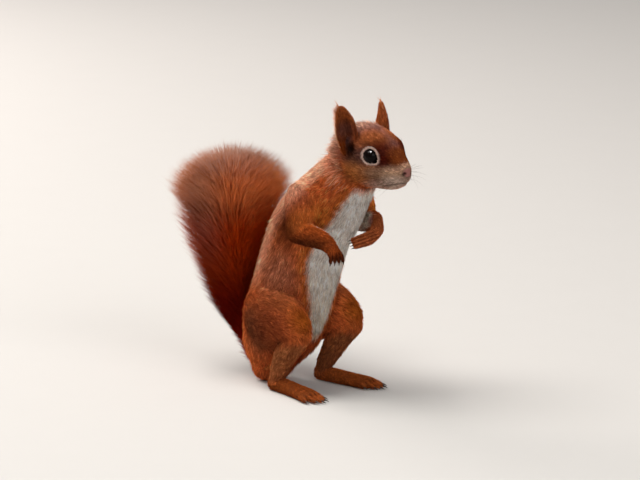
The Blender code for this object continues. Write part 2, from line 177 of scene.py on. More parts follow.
# Depth of a lock's root below the skin, painted shade that darkens the hollows, and size of a
# lock on the map.
ROOT_DEPTH = 0.35
HOLLOW_SHADE = 0.55
LOCK_PATCH = 0.003
# Coats of the body: the parts they cover, the spacing of their locks, and their flecking.
BODY_COATS = {
    "trunk": (("trunk",), 0.87, 0.30), "neck": (("neck",), 0.73, 0.34),
    "haunch": (("thigh", "shin"), 0.82, 0.26), "arm": (("upper arm", "forearm"), 0.67, 0.26),
}

# Swellings and pits of the head on both sides, in their order: whisker pad, cheek, nostril and
# its lower corner, and ear pit, each with its height, middle and radii.
SWELLINGS = [
    (0.9, (93.5, 7.0, 157.6), (5.0, 3.5, 3.4)), (0.8, (75.0, 16.0, 158.0), (8.0, 5.0, 6.0)),
    (-1.1, (101.5, 3.0, 161.2), (1.3, 1.0, 0.85)), (-0.6, (100.9, 3.6, 160.3), (1.0, 0.9, 0.7)),
    (-2.2, EAR_PIT, (2.6, 3.0, 4.0)),
]
# Half width of the white front at heights from the groin to the chin.
WHITE_WIDTHS = [
    (26, 5.5), (40, 6.5), (58, 9), (78, 13.5), (92, 16.5), (110, 15.5), (127, 12.5), (140, 10.5),
    (150, 9), (158, 7.5),
]

# Stage, in metres: the camera's aim to its right and up, the middles that the lights face, and
# the lights' places to the right, to the camera and up, with sizes, watts and colours.
CAMERA_AIM = (0.0136, 0.0986)
BODY_MIDDLE = (0.0, 0.0, 0.10)
HEAD_MIDDLE = (0.0, -0.08, 0.165)
LAMPS = {
    "key": (-0.8, 0.1, 1.9, 1.2, 44.0, (1.0, 0.97, 0.94)),
    "fill": (1.1, 1.7, 0.8, 1.4, 22.0, (0.98, 0.99, 1.0)),
    "rim": (-1.2, -1.5, 1.1, 0.9, 26.0, (1.0, 0.93, 0.90)),
}

# Things made by one operator and used by the next.
made = {}


# ------------------------------------------------------------------ helpers
def place(points):
    """Turn (forward, left, height) in millimetres into metres of the shared frame."""
    points = np.asarray(points, float)
    out = np.empty_like(points)
    out[..., 0] = points[..., 1]
    out[..., 1] = CENTRE_FORWARD - points[..., 0]
    out[..., 2] = points[..., 2]
    return out * MM


def unplace(points):
    """Metres of the shared frame back to (forward, left, height) in millimetres."""
    points = np.asarray(points, float) / MM
    return np.stack([CENTRE_FORWARD - points[..., 1], points[..., 0], points[..., 2]], axis=-1)


def unit(v):
    """Vectors scaled to length one along the last axis."""
    return v / np.maximum(np.linalg.norm(v, axis=-1, keepdims=True), 1e-9)


def smooth(low, high, x):
    """Smoothstep: 0 before low, 1 past high and 3t^2 - 2t^3 between; low may be the greater."""
    t = np.clip((x - low) / (high - low), 0.0, 1.0)
    return t * t * (3.0 - 2.0 * t)


def blob(p, centre, radii, soft=1.0):
    """Weight of an ellipsoid on both sides: 1 inside, 0 outside, over an edge of width soft."""
    q = np.stack([p[:, 0], np.abs(p[:, 1]), p[:, 2]], axis=1)
    reach = np.sqrt((((q - centre) / radii) ** 2).sum(1))
    return 1.0 - smooth(1.0 - 0.5 * soft, 1.0 + 0.5 * soft, reach)


def bump(p, spot, radii):
    """Gaussian weight round a spot: 1 there, and 1 / e on an ellipsoid of the given radii."""
    return np.exp(-(((p - spot) / radii) ** 2).sum(1))


def through(rows, count):
    """Cubic Hermite curve through the stations, even in the root of chord length.

    The count is a number of samples, or an array of places along the curve from 0 to 1.
    Returns the sampled rows and the curve's unit directions.
    """
    rows = np.asarray(rows, float)
    steps = np.linalg.norm(np.diff(rows[:, :3], axis=0), axis=1)
    knots = np.concatenate([[0.0], np.cumsum(np.sqrt(steps))])
    t = (np.linspace(0.0, 1.0, count) if np.isscalar(count) else count) * knots[-1]
    before = (knots[1:-1] - knots[:-2])[:, None]
    after = (knots[2:] - knots[1:-1])[:, None]
    slope = np.diff(rows, axis=0) / np.diff(knots)[:, None]
    rate = np.empty_like(rows)
    rate[1:-1] = (slope[:-1] * after + slope[1:] * before) / (before + after)
    rate[0] = slope[0]
    rate[-1] = slope[-1]
    i = np.clip(np.searchsorted(knots, t, side="right") - 1, 0, len(rows) - 2)
    h = (knots[i + 1] - knots[i])[:, None]
    u = (t - knots[i])[:, None] / h
    start = (2 * u**3 - 3 * u**2 + 1) * rows[i] + (u**3 - 2 * u**2 + u) * h * rate[i]
    finish = (3 * u**2 - 2 * u**3) * rows[i + 1] + (u**3 - u**2) * h * rate[i + 1]
    turn = (6 * u**2 - 6 * u) / h * (rows[i] - rows[i + 1])
    turn = turn + (3 * u**2 - 4 * u + 1) * rate[i] + (3 * u**2 - 2 * u) * rate[i + 1]
    return start + finish, unit(turn[:, :3])


def other_side(rows):
    """The same stations on the animal's right."""
    return [(r[0], -r[1]) + tuple(r[2:]) for r in rows]


def ring_quads(rings, around):
    """Quads between the neighbours of a stack of closed rings."""
    i, j = np.meshgrid(np.arange(rings - 1), np.arange(around), indexing="ij")
    a = (i * around + j).ravel()
    b = (i * around + (j + 1) % around).ravel()
    return np.stack([a, b, b + around, a + around], axis=1)


def pole_fans(rings, around):
    """Triangles that close a stack of rings on two points that come after them."""
    k = np.arange(around)
    low = np.full(around, rings * around)
    top = (rings - 1) * around
    first = np.stack([low, (k + 1) % around, k], axis=1)
    last = np.stack([low + 1, top + k, top + (k + 1) % around], axis=1)
    return np.vstack([first, last])


def loft(rows, rings, sides, hint=(0, 1, 0), roundness=2.0, caps=(0.6, 0.6), inset=(0.0, 0.0)):
    """Superellipse sections carried along the curve through the stations.

    A point is centre + side * w * c(angle) + up * h * s(angle), where c and s are cosine and
    sine raised to 2 / roundness, and each end is closed by an elliptic dome.
    Returns points, quads, triangles and each point's direction along the curve.
    """
    s, way = through(rows, rings)
    hint = np.asarray(hint, float)
    side = unit(hint - (way @ hint)[:, None] * way)
    up = np.cross(way, side)
    depth = np.linspace(inset[0], inset[1], rings)[:, None]
    size = np.maximum(s[:, 3:6] - depth, LEAST_RADIUS)
    angles = np.linspace(0.0, 0.5 * math.pi, DOME_RINGS + 2)[1:-1]
    reach0 = size[0].mean() * caps[0]
    reach1 = size[-1].mean() * caps[1]
    centre0 = s[0, :3] - way[0] * (reach0 * np.sin(angles))[::-1, None]
    centre1 = s[-1, :3] + way[-1] * (reach1 * np.sin(angles))[:, None]
    size0 = size[0] * np.cos(angles)[::-1, None]
    size1 = size[-1] * np.cos(angles)[:, None]
    centre = np.vstack([centre0, s[:, :3], centre1])
    size = np.vstack([size0, size, size1])
    index = np.concatenate([np.zeros(DOME_RINGS, int), np.arange(rings),
                            np.full(DOME_RINGS, rings - 1)])
    side, up, way = side[index], up[index], way[index]
    angle = np.linspace(0.0, 2.0 * math.pi, sides, endpoint=False)
    c = np.sign(np.cos(angle)) * np.abs(np.cos(angle)) ** (2.0 / roundness)
    d = np.sign(np.sin(angle)) * np.abs(np.sin(angle)) ** (2.0 / roundness)
    rise = np.where(d > 0, size[:, 1:2], size[:, 2:3]) * d
    points = centre[:, None] + side[:, None] * (size[:, 0:1] * c)[..., None]
    points = points + up[:, None] * rise[..., None]
    poles = np.array([s[0, :3] - way[0] * reach0, s[-1, :3] + way[-1] * reach1])
    flow = np.vstack([np.repeat(way, sides, axis=0), way[[0, -1]]])
    rings = len(centre)
    return (np.vstack([points.reshape(-1, 3), poles]), ring_quads(rings, sides),
            pole_fans(rings, sides), flow)


def ear_rows(flank):
    """Stations of one ear, its tip let down by its drop, more the higher they stand."""
    foot, top = EAR[0][2], EAR[-1][2]
    rows = [(f, l, z - EAR_DROP[flank] * (z - foot) / (top - foot), w, d) for f, l, z, w, d in EAR]
    return rows if flank == "left" else other_side(rows)


def ear_axes(sign):
    """Level directions at one ear: the way its scoop opens, and the way across it."""
    turn = sign * EAR_TURN
    return (np.array([math.cos(turn), math.sin(turn), 0.0]),
            np.array([-math.sin(turn), math.cos(turn), 0.0]))


def ear_shell(flank, rings, arc, wall):
    """Scoop: each section is a crescent between two half ellipses, open to one direction."""
    s, way = through(ear_rows(flank), rings)
    opening, across = ear_axes(SIDES[flank])
    a = np.linspace(-0.5, 0.5, arc) * math.pi
    half, deep = s[:, 3:4], s[:, 4:5]
    thin = np.minimum(wall, np.minimum(half, deep) * 0.62)
    back = np.stack([np.sin(a) * half, -np.cos(a) * deep], axis=-1)
    b = a[::-1]
    front = np.stack([np.sin(b) * (half - thin), -np.cos(b) * (deep - thin) + 0.25 * thin], axis=-1)
    ring = np.concatenate([back, front], axis=1)
    points = s[:, None, :3] + ring[..., 0:1] * across + ring[..., 1:2] * opening
    around = 2 * arc
    k = np.arange(arc - 1)
    m = around - 1 - k
    top = (rings - 1) * around
    foot_end = np.stack([k, m, m - 1, k + 1], axis=1)
    tip_end = np.stack([top + k, top + k + 1, top + m - 1, top + m], axis=1)
    quads = np.vstack([ring_quads(rings, around), foot_end, tip_end])
    return points.reshape(-1, 3), quads, np.zeros((0, 3), int), np.repeat(way, around, axis=0)


def put(name, data):
    """Object at the origin that shows a mesh, a light or a camera."""
    obj = bpy.data.objects.new(name, data)
    bpy.context.scene.collection.objects.link(obj)
    return obj


def mesh_object(name, points, faces):
    """Object from points in metres and lists of faces."""
    mesh = bpy.data.meshes.new(name)
    mesh.from_pydata(np.asarray(points).tolist(), [], faces)
    return put(name, mesh)


def triangle_object(name, points, triangles):
    """Smooth-shaded object from whole arrays of points in metres and triangles."""
    mesh = bpy.data.meshes.new(name)
    mesh.vertices.add(len(points))
    mesh.vertices.foreach_set("co", np.ascontiguousarray(points, np.float32).ravel())
    mesh.loops.add(triangles.size)
    mesh.loops.foreach_set("vertex_index", np.ascontiguousarray(triangles, np.int32).ravel())
    mesh.polygons.add(len(triangles))
    mesh.polygons.foreach_set("loop_start", np.arange(0, triangles.size, 3, dtype=np.int32))
    mesh.polygons.foreach_set("use_smooth", np.full(len(triangles), True))
    mesh.update(calc_edges=True)
    mesh.validate()
    return put(name, mesh)


def settle(obj):
    """Apply every modifier by swapping in the evaluated mesh."""
    graph = bpy.context.evaluated_depsgraph_get()
    done = bpy.data.meshes.new_from_object(obj.evaluated_get(graph))
    old = obj.data
    obj.modifiers.clear()
    obj.data = done
    bpy.data.meshes.remove(old)


def arrays(mesh):
    """Points in metres, edges and triangles of a mesh as arrays."""
    points = np.empty(len(mesh.vertices) * 3, np.float32)
    mesh.vertices.foreach_get("co", points)
    edges = np.empty(len(mesh.edges) * 2, np.int32)
    mesh.edges.foreach_get("vertices", edges)
    mesh.calc_loop_triangles()
    triangles = np.empty(len(mesh.loop_triangles) * 3, np.int32)
    mesh.loop_triangles.foreach_get("vertices", triangles)
    return points.reshape(-1, 3).astype(float), edges.reshape(-1, 2), triangles.reshape(-1, 3)


def relax(values, edges, rounds, amount):
    """Move each value towards the mean of its neighbours, round by round."""
    count = len(values)
    a, b = edges[:, 0], edges[:, 1]
    degree = np.maximum(np.bincount(a, minlength=count) + np.bincount(b, minlength=count), 1)
    values = values.copy()
    amount = np.broadcast_to(np.asarray(amount, float), (count,))[:, None]
    for _ in range(rounds):
        total = np.stack([np.bincount(a, values[b, k], count) + np.bincount(b, values[a, k], count)
                          for k in range(values.shape[1])], axis=1)
        values += (total / degree[:, None] - values) * amount
    return values


def relax_near(values, edges, rounds, amount):
    """Relax only the points whose amount is above zero, leaving the others in place."""
    kept = np.nonzero(amount > 0.0)[0]
    index = np.full(len(values), -1)
    index[kept] = np.arange(len(kept))
    inner = index[edges]
    inner = inner[(inner >= 0).all(1)]
    values = values.copy()
    values[kept] = relax(values[kept], inner, rounds, amount[kept])
    return values


def normals_of(points, triangles):
    """Area-weighted point normals, pointing out."""
    corner = points[triangles]
    face = np.cross(corner[:, 1] - corner[:, 0], corner[:, 2] - corner[:, 0])
    total = np.stack([np.bincount(triangles.ravel(), np.repeat(face[:, k], 3), len(points))
                      for k in range(3)], axis=1)
    return unit(total)


def point_tree(points):
    """Search tree over an array of points."""
    tree = KDTree(len(points))
    for i, point in enumerate(points.tolist()):
        tree.insert(point, i)
    tree.balance()
    return tree


def nearest(tree, points):
    """Index of the tree's nearest point to each of an array of points."""
    return np.fromiter((tree.find(point)[1] for point in points.tolist()), int, len(points))


# ------------------------------------------------------------------ skin
def past_claw(curve, radii, reach):
    """A digit's stations with a slimmer one past its tip, so that it closes round its claw."""
    end = curve[-1] + unit(curve[-1] - curve[-2]) * reach
    return [(*point, r, r, r) for point, r in zip(curve + [end], radii + (0.85 * radii[-1],))]


def digits(flank):
    """Station rows of the fingers and toes of one side, with their section hints."""
    way = unit(np.asarray(PALM_HINT[flank], float))
    knuckle = np.asarray(PALM[flank][-1][:3], float)
    fingers = []
    for i in range(4):
        curve = [knuckle + way * (i - 1.5) * (FINGER_PITCH + splay) + np.asarray(p)
                 for p, splay in zip(FINGER_CURVE[flank], FINGER_SPLAY[flank])]
        fingers.append((past_claw(curve, FINGER_RADII[flank], 1.5), FINGER_HINT[flank]))
    root = np.asarray(FOOT[-1][:3], float)
    toes = []
    for i, length in enumerate(TOE_LENGTHS):
        fan = i - 2.0
        base = root + np.array([-2.0 - 0.7 * fan**2, fan * TOE_PITCH, -0.9])
        tip = base + np.array([length, fan * 0.9, -0.2])
        mid = 0.5 * (base + tip) + np.array([0.0, 0.0, 0.7])
        curve = [p * np.array([1.0, SIDES[flank], 1.0]) for p in (base, mid, tip)]
        toes.append((past_claw(curve, TOE_RADII, 0.8), TOE_HINT))
    return fingers, toes


def skin_lofts():
    """All overlapping closed surfaces of the skin, each with its part and the coat's sense on it."""
    trunk, neck, thigh, arm = (DEPTH[name] for name in ("trunk", "neck", "thigh", "upper arm"))
    items = [
        ("trunk", -1, loft(BODY, 90, 64, roundness=2.1, caps=(0.95, 0.3), inset=(trunk, neck))),
        ("head", -1, loft(HEAD, 80, 72, roundness=2.15, caps=(0.7, 0.35), inset=(1.5, 0.15))),
        ("tail", 1, loft(TAIL_CORE, 70, 20, caps=(0.5, 1.0))),
    ]
    for flank in SIDES:
        turned = list if flank == "left" else other_side
        items += [
            ("thigh", 1, loft(turned(THIGH), 30, 40, inset=(thigh, thigh))),
            ("shin", 1, loft(turned(SHIN), 26, 28, inset=(DEPTH["shin"], 1.0))),
            ("foot", 1, loft(turned(FOOT), 30, 32, caps=(0.8, 0.5), inset=(0.9, 0.5))),
            ("upper arm", 1, loft(UPPER_ARM[flank], 24, 34, inset=(arm, arm))),
            ("forearm", 1, loft(FOREARM[flank], 24, 28, inset=(DEPTH["forearm"], 0.9))),
            ("hand", 1, loft(PALM[flank], 16, 24, hint=PALM_HINT[flank], inset=(0.8, 0.5))),
            ("ear", 1, ear_shell(flank, 50, 22, EAR_WALL)),
        ]
        for part, found in zip(("hand", "foot"), digits(flank)):
            items += [(part, 1, loft(rows, 12, 14, hint=hint, caps=(0.6, 0.9))) for rows, hint in found]
    return items


def eye_frame(sign):
    """Centre of an eye and its outward, forward and upward axes."""
    mirror = np.array([1.0, sign, 1.0])
    out = EYE_WAY * mirror
    level = np.array([1.0, 0.0, -0.10])
    ahead = unit(level - out * (level @ out))
    rise = np.cross(out, ahead)
    rise = rise if rise[2] > 0 else -rise
    return EYE_CENTRE * mirror, out, ahead, rise


def lid_reach(angle):
    """Radius of the lids' opening round the eye: nearly round, with a drawn-out front corner."""
    front = np.maximum(np.cos(angle + 0.48), 0.0) ** 9
    back = np.maximum(-np.cos(angle + 0.25), 0.0) ** 9
    return 4.80 + 1.5 * front + 0.08 * back - 0.15 * np.sin(angle) ** 2


def round_eye(p, sign):
    """Points seen from one eye: outward, forward and upward offsets, distance from its axis, and
    the radius of the lids' opening in the same direction."""
    centre, out, ahead, rise = eye_frame(sign)
    q = p - centre
    a, b = q @ ahead, q @ rise
    return q @ out, a, b, np.hypot(a, b), lid_reach(np.arctan2(b, a))


def nose_pad(p):
    """Distance measure of the bare nose: below 1 inside an ellipsoid round the tip."""
    return np.sqrt((((p - (101.9, 0.0, 161.6)) / (4.0, 3.8, 3.0)) ** 2).sum(1))


def mouth_line(p):
    """Height above the mouth line, and how far along the muzzle it runs as a weight."""
    height = 151.8 + 2.2 * smooth(86.0, 98.0, p[:, 0]) - 0.5 * smooth(4.0, 9.0, np.abs(p[:, 1]))
    along = smooth(83.5, 86.5, p[:, 0])
    return p[:, 2] - height, along


def sculpt_head(p, n):
    """Lids, eye sockets, brow, whisker pads, mouth, nostrils and ear pits, in millimetres.

    Round each eye the skin is drawn to the height of the ball at the lids' opening and falls
    away outside it; grooves and swellings are smooth bumps round a curve or a point.
    """
    for sign in SIDES.values():
        centre, out, ahead, rise = eye_frame(sign)
        h, _, _, rho, reach = round_eye(p, sign)
        near = (h > -5.0) & (rho < 13.0) & (p[:, 1] * sign > 4.0)
        ball = np.sqrt(np.maximum(EYE_RADIUS**2 - np.minimum(rho, EYE_RADIUS) ** 2, 0.0))
        rim = np.sqrt(np.maximum(EYE_RADIUS**2 - np.minimum(reach, 4.9) ** 2, 0.0)) + 0.25
        fall = 1.0 - smooth(0.2, 6.2, rho - reach)
        lid = h + (np.maximum(rim, h) - h) * fall
        swell = 0.35 * np.exp(-((rho - reach - 1.2) / 0.9) ** 2)
        t = smooth(-0.35, 0.15, rho - reach)
        height = (ball - 1.3) * (1.0 - t) + (lid + swell) * t
        p = p + out * np.where(near, height - h, 0.0)[:, None]
        brow = centre + ahead + rise * 6.6 + out * 1.2
        p = p + n * (0.35 * bump(p, brow, (4.5, 3.0, 2.2)))[:, None]
        for swelling, spot, radii in SWELLINGS:
            p = p + n * (swelling * bump(p, np.array(spot) * (1.0, sign, 1.0), radii))[:, None]
    mouth, away = mouth_line(p)
    p = p - n * (0.75 * np.exp(-(mouth / 0.75) ** 2) * away)[:, None]
    # cleft under the nose, then the crease behind the nose pad
    cleft = np.exp(-(p[:, 1] / 0.55) ** 2) * smooth(97.0, 99.5, p[:, 0]) * smooth(153.5, 155.5, p[:, 2])
    cleft = cleft * (1.0 - smooth(159.5, 161.5, p[:, 2]))
    p = p - n * (0.45 * cleft)[:, None]
    return p - n * (0.22 * np.exp(-((nose_pad(p) - 1.0) / 0.13) ** 2))[:, None]


def fused_lofts():
    """Object of all lofts fused on a fine voxel grid, and the lofts' points, flows and parts."""
    points, faces, flows, parts = [], [], [], []
    base = 0
    for part, sense, (p, quads, triangles, flow) in skin_lofts():
        points.append(p)
        faces += (quads + base).tolist() + (triangles + base).tolist()
        flows.append(flow * sense)
        parts.append(np.full(len(p), PART_NAMES.index(part)))
        base += len(p)
    points = np.vstack(points)
    obj = mesh_object("skin", place(points), faces)
    step = obj.modifiers.new("Fuse", "REMESH")
    step.mode = "VOXEL"
    step.voxel_size = VOXEL * MM
    settle(obj)
    return obj, points, np.vstack(flows), np.concatenate(parts)


def small_shapes(p):
    """Weight of the skin whose shapes are too small for much smoothing: face, ears, hands, toes."""
    return np.maximum.reduce([
        smooth(66.0, 70.0, p[:, 0]) * smooth(140.0, 146.0, p[:, 2]),
        smooth(170.0, 176.0, p[:, 2]) * (np.abs(p[:, 1]) > 13.0) * (p[:, 0] < 70),
        smooth(45.0, 49.0, p[:, 0]) * (p[:, 2] < 128.0),
        smooth(26.0, 32.0, p[:, 0]) * (p[:, 2] < 9.0),
    ])


def shape_skin(obj):
    """Smooth the fused skin, run the shoulders into the trunk, sculpt the head and thin it out."""
    p, edges, triangles = arrays(obj.data)
    p = unplace(p)
    fine = small_shapes(p)
    p = relax(p, edges, 14, 0.5 * (1.0 - fine))
    p = relax(p, edges, 3, 0.4)
    elbow = smooth(30.0, 38.0, p[:, 0]) * smooth(126, 120, p[:, 2])
    shoulder = blob(p, (14, 23, 126), (24, 18, 27)) * (1.0 - elbow)
    p = relax_near(p, edges, 260, 0.5 * shoulder)
    p = sculpt_head(p, normals_of(p, triangles))
    p[:, 2] = np.maximum(p[:, 2], 0.15)
    obj.data.vertices.foreach_set("co", np.ascontiguousarray(place(p), np.float32).ravel())
    group = obj.vertex_groups.new(name="coarse")
    coarse = 1.0 - np.maximum(fine, smooth(140.0, 150.0, p[:, 2]) * smooth(52.0, 60.0, p[:, 0]))
    for weight in (0.25, 0.5, 0.75, 1.0):
        chosen = np.nonzero(np.abs(coarse - weight) < 0.125)[0]
        group.add(chosen.tolist(), weight, "REPLACE")
    step = obj.modifiers.new("Thin out", "DECIMATE")
    step.ratio = min(1.0, SKIN_TRIANGLES / len(triangles))
    step.vertex_group = "coarse"
    step.vertex_group_factor = 1.0
    settle(obj)


def make_skin():
    """One continuous skin, with what the coat needs at its points kept for the next steps.

    The coat's lie and the parts come from the nearest loft points and are evened out along the
    edges; a hollow is where the skin lies below the mean of its neighbourhood.
    """
    obj, points, flows, parts = fused_lofts()
    shape_skin(obj)
    p, _, triangles = arrays(obj.data)
    bpy.data.objects.remove(obj)
    obj = triangle_object("skin", p, triangles)
    p = unplace(p)
    _, edges, _ = arrays(obj.data)
    source = nearest(point_tree(points), p)
    normal = normals_of(p, triangles)
    flow = relax(flows[source], edges, 12, 0.6)
    flow = unit(flow - (flow * normal).sum(1, keepdims=True) * normal)
    sunk = ((relax(p, edges, 8, 0.5) - p) * normal).sum(1)
    hollow = relax(smooth(0.04, 0.40, sunk)[:, None], edges, 2, 0.5)[:, 0]
    share = np.zeros((len(p), len(PART_NAMES)))
    share[np.arange(len(p)), parts[source]] = 1.0
    share = relax(share, edges, 22, 0.6)
    trunk, neck = PART_NAMES.index("trunk"), PART_NAMES.index("neck")
    moved = smooth(132.0, 146.0, p[:, 2] + 0.25 * p[:, 0]) * share[:, trunk]
    share[:, neck] += moved
    share[:, trunk] -= moved
    made.update(points=p, triangles=triangles, normal=normal, flow=flow, hollow=hollow, share=share,
                point_tree=point_tree(p), tree=BVHTree.FromPolygons(p.tolist(), triangles.tolist()))
    return obj


def skin_normal(p):
    """Normals at the skin points nearest to some places."""
    return made["normal"][nearest(made["point_tree"], p)]


# ------------------------------------------------------------------ colours
def palette():
    """The named colours of the coat as linear arrays."""
    colours = bpy.context.scene.squirrel_colours
    return {name: np.array(getattr(colours, name)[:3]) for name in COLOURS}


def blend(tone, colour, weight):
    """Mix a colour into an array of colours by a weight for each point."""
    return tone + (colour - tone) * np.clip(weight, 0.0, 1.0)[:, None]


def ventral(p):
    """How far a point of the trunk lies in front of the body's middle line, in millimetres."""
    heights = np.array([row[2] for row in BODY])
    return p[:, 0] - np.interp(p[:, 2], heights, [row[0] for row in BODY])


# Soft mirrored ellipsoids of colour in their order: colour, weight, centre and radii.
BODY_PATCHES = [
    ("wash", 0.8, (6, 28, 82), (16, 14, 21)), ("grey", 0.75, (-12, 33, 40), (13, 14, 18)),
    # Painted shadow: the dark patch at (18, 36, 114) on the next line lies in the hollow behind the
    # arm.
    ("russet", 0.7, (4, 24, 122), (17, 16, 16)), ("chestnut", 0.95, (18, 36, 114), (11, 11, 12)),
    ("orange", 0.5, (12, 32, 67), (17, 12, 9)), ("haunch", 0.75, (4, 36, 43), (18, 14, 22)),
    # Painted light: the bright patch on the next line lies in the groove between the arm and the chest,
    # where shade falls.
    ("knee", 0.9, (29, 25, 58), (9, 13, 13)), ("bright", 1.0, (38, 22, 124), (12, 11, 12)),
    ("shoulder", 0.8, (28, 30, 134), (10, 10, 10)),
]
HEAD_PATCHES = [
    # Painted sheen: the first pale patch lies on top of the crown; the second, behind the ears, is
    # partly pale fur and partly painted sheen.
    ("nape", 0.35, (64, 4, 189.5), (7, 8, 4.5)), ("nape", 0.4, (49, 9, 170), (11, 14, 14)),
    ("russet", 0.9, (56, 18, 155), (13, 10, 16)), ("fore", 0.8, (79, 9, 181), (11, 10, 7)),
    ("brow", 0.9, (85.5, 10, 173.5), (10, 10, 8.5)), ("bridge", 0.9, (93.5, 1, 172.5), (4.5, 9, 6)),
    ("temple", 0.95, (67.5, 18, 168), (8, 7, 10)), ("cheek", 0.85, (77, 15, 159), (14, 9, 7)),
    ("cheek", 0.5, (66, 17, 158), (7, 7, 7)), ("ear_tip", 0.8, (71, 17, 184), (5, 5, 8)),
    ("throat", 0.85, (63, 17, 154), (11, 10, 9)), ("grey_tan", 0.75, (85, 10, 160), (8, 8, 4.5)),
    ("brow", 0.8, (90.0, 8, 168), (6.5, 5.5, 4.0)), ("bridge", 0.9, (96.5, 3, 168), (4.5, 6, 4)),
    ("tan", 0.9, (95.5, 7, 159.5), (8, 9, 5.4)), ("tan", 0.7, (101, 2, 165), (3, 5, 2.2)),
    # Painted shadow: the dark patch at (99.5, 2, 155.8) on the next line lies under the nose, on the
    # upper lip.
    ("temple", 0.75, (99.5, 2, 155.8), (3.2, 4.5, 2.8)), ("cream", 0.75, (86, 6, 150.5), (12, 11, 5)),
    ("cream", 0.85, (95, 5, 155), (8, 8, 4.5)),
]


def patches(tone, p, table, weight=1.0):
    """Lay a table of soft coloured ellipsoids over the tones."""
    c = palette()
    for name, strength, centre, radii in table:
        tone = blend(tone, c[name], weight * strength * blob(p, centre, radii, 1.2))
    return tone


def limb_markings(p, part, tone, c):
    """Colours of the legs, feet, arms and hands, with painted shadow in the hollow behind the
    elbow and painted shade under the forearm.
    """
    forward, side, height = p[:, 0], np.abs(p[:, 1]), p[:, 2]
    tone = blend(tone, c["shin"], 0.8 * part["shin"] * smooth(44, 34, height))
    tone = blend(tone, c["foot"], part["foot"])
    elbow = smooth(138, 124, height) * smooth(18, 29, forward)
    tone = blend(tone, c["orange"], 0.9 * part["upper arm"] * elbow)
    tone = blend(tone, c["forearm"], 0.85 * part["forearm"])
    for flank, sign in SIDES.items():
        rows = np.array(UPPER_ARM[flank][1:] + FOREARM[flank][1:] + PALM[flank][:1])
        axis = np.interp(forward, rows[:, 0], np.abs(rows[:, 1]))
        inner = smooth(-1.0, -4.5, side - axis) * (p[:, 1] * sign > 0) * smooth(57, 53, forward)
        tone = blend(tone, c["belly"], 0.85 * inner * (part["forearm"] + part["hand"]))
    # Painted shade on the forearm's underside.
    below = blob(p, (40, 34, 108), (22, 12, 7.5), 1.4)
    tone = blend(tone, c["chestnut"], 0.95 * part["forearm"] * below)
    # Painted shadow in the hollow behind the elbow, between the arm and the trunk.
    hollow = np.maximum(0.75 * blob(p, (21, 35, 116), (10, 12, 13), 1.5),
                        0.85 * blob(p, (12, 25, 117), (9, 12, 13), 1.5))
    tone = blend(tone, c["chestnut"], hollow * (1.0 - part["hand"]))
    tone = blend(tone, c["hand"], part["hand"])
    fingers = part["hand"] * smooth(106.5, 102.5, height) * (p[:, 1] < 0)
    tone = blend(tone, c["finger"], 0.95 * fingers)
    left_hand = (part["hand"] + part["forearm"] * smooth(48, 54, forward)) * (p[:, 1] > 0)
    tone = blend(tone, c["left_hand"], 0.8 * left_hand * smooth(50, 55, forward + 0.7 * (120 - height)))
    return blend(tone, c["pad"], 0.9 * blob(p, (54, 13, 120), (3.2, 3.2, 2.8)) * (p[:, 1] > 0))


def paint_digit_light_and_shade(p, part, tone):
    """Painted shade in the grooves between the fingers and between the toes and painted light
    along the digits, by a cosine across each paw.
    """
    for flank, sign in SIDES.items():
        q = p - np.asarray(PALM[flank][-1][:3])
        across = q @ unit(np.asarray(PALM_HINT[flank])) / GROOVE_PITCH[flank]
        past = smooth(-0.5, 1.5, q @ unit(np.asarray(FINGER_CURVE[flank][-1])))
        groove = (0.5 + 0.5 * np.cos(2.0 * math.pi * across)) ** 2
        stripe = past * part["hand"] * (p[:, 1] * sign > 0)
        tone = tone * (1.0 + stripe * (0.35 - 0.95 * groove))[:, None]
    forward, left = FOOT[-1][:2]
    across = (np.abs(p[:, 1]) - left) / (TOE_PITCH + 0.5)
    groove = (0.5 - 0.5 * np.cos(2.0 * math.pi * across)) ** 2
    past = smooth(forward - 2.0, forward + 1.5, p[:, 0]) * part["foot"]
    return tone * (1.0 + past * (0.35 - 0.9 * groove))[:, None]


def white_front(p, part, tone, c):
    """White throat, chest and belly with an orange edge, its half width a function of height."""
    side, height = np.abs(p[:, 1]), p[:, 2]
    width = np.interp(height, *np.transpose(WHITE_WIDTHS))
    front = smooth(0.0, 7.0, ventral(p)) * np.clip(part["trunk"] + part["neck"] + part["head"], 0, 1)
    front = front * smooth(148.5, 142.0, height + 0.35 * (p[:, 0] - 62.0)) * smooth(32.0, 46.0, height)
    edge = front * smooth(width + 6.0, width + 1.0, side) * smooth(76.0, 66.0, p[:, 0])
    tone = blend(tone, c["orange"], 0.85 * edge)
    belly = smooth(0.1, 0.55, front) * smooth(width + 1.4, width - 1.6, side)
    white = c["white"] + (c["belly"] - c["white"]) * smooth(100.0, 45.0, height)[:, None]
    return blend(tone, white, belly)


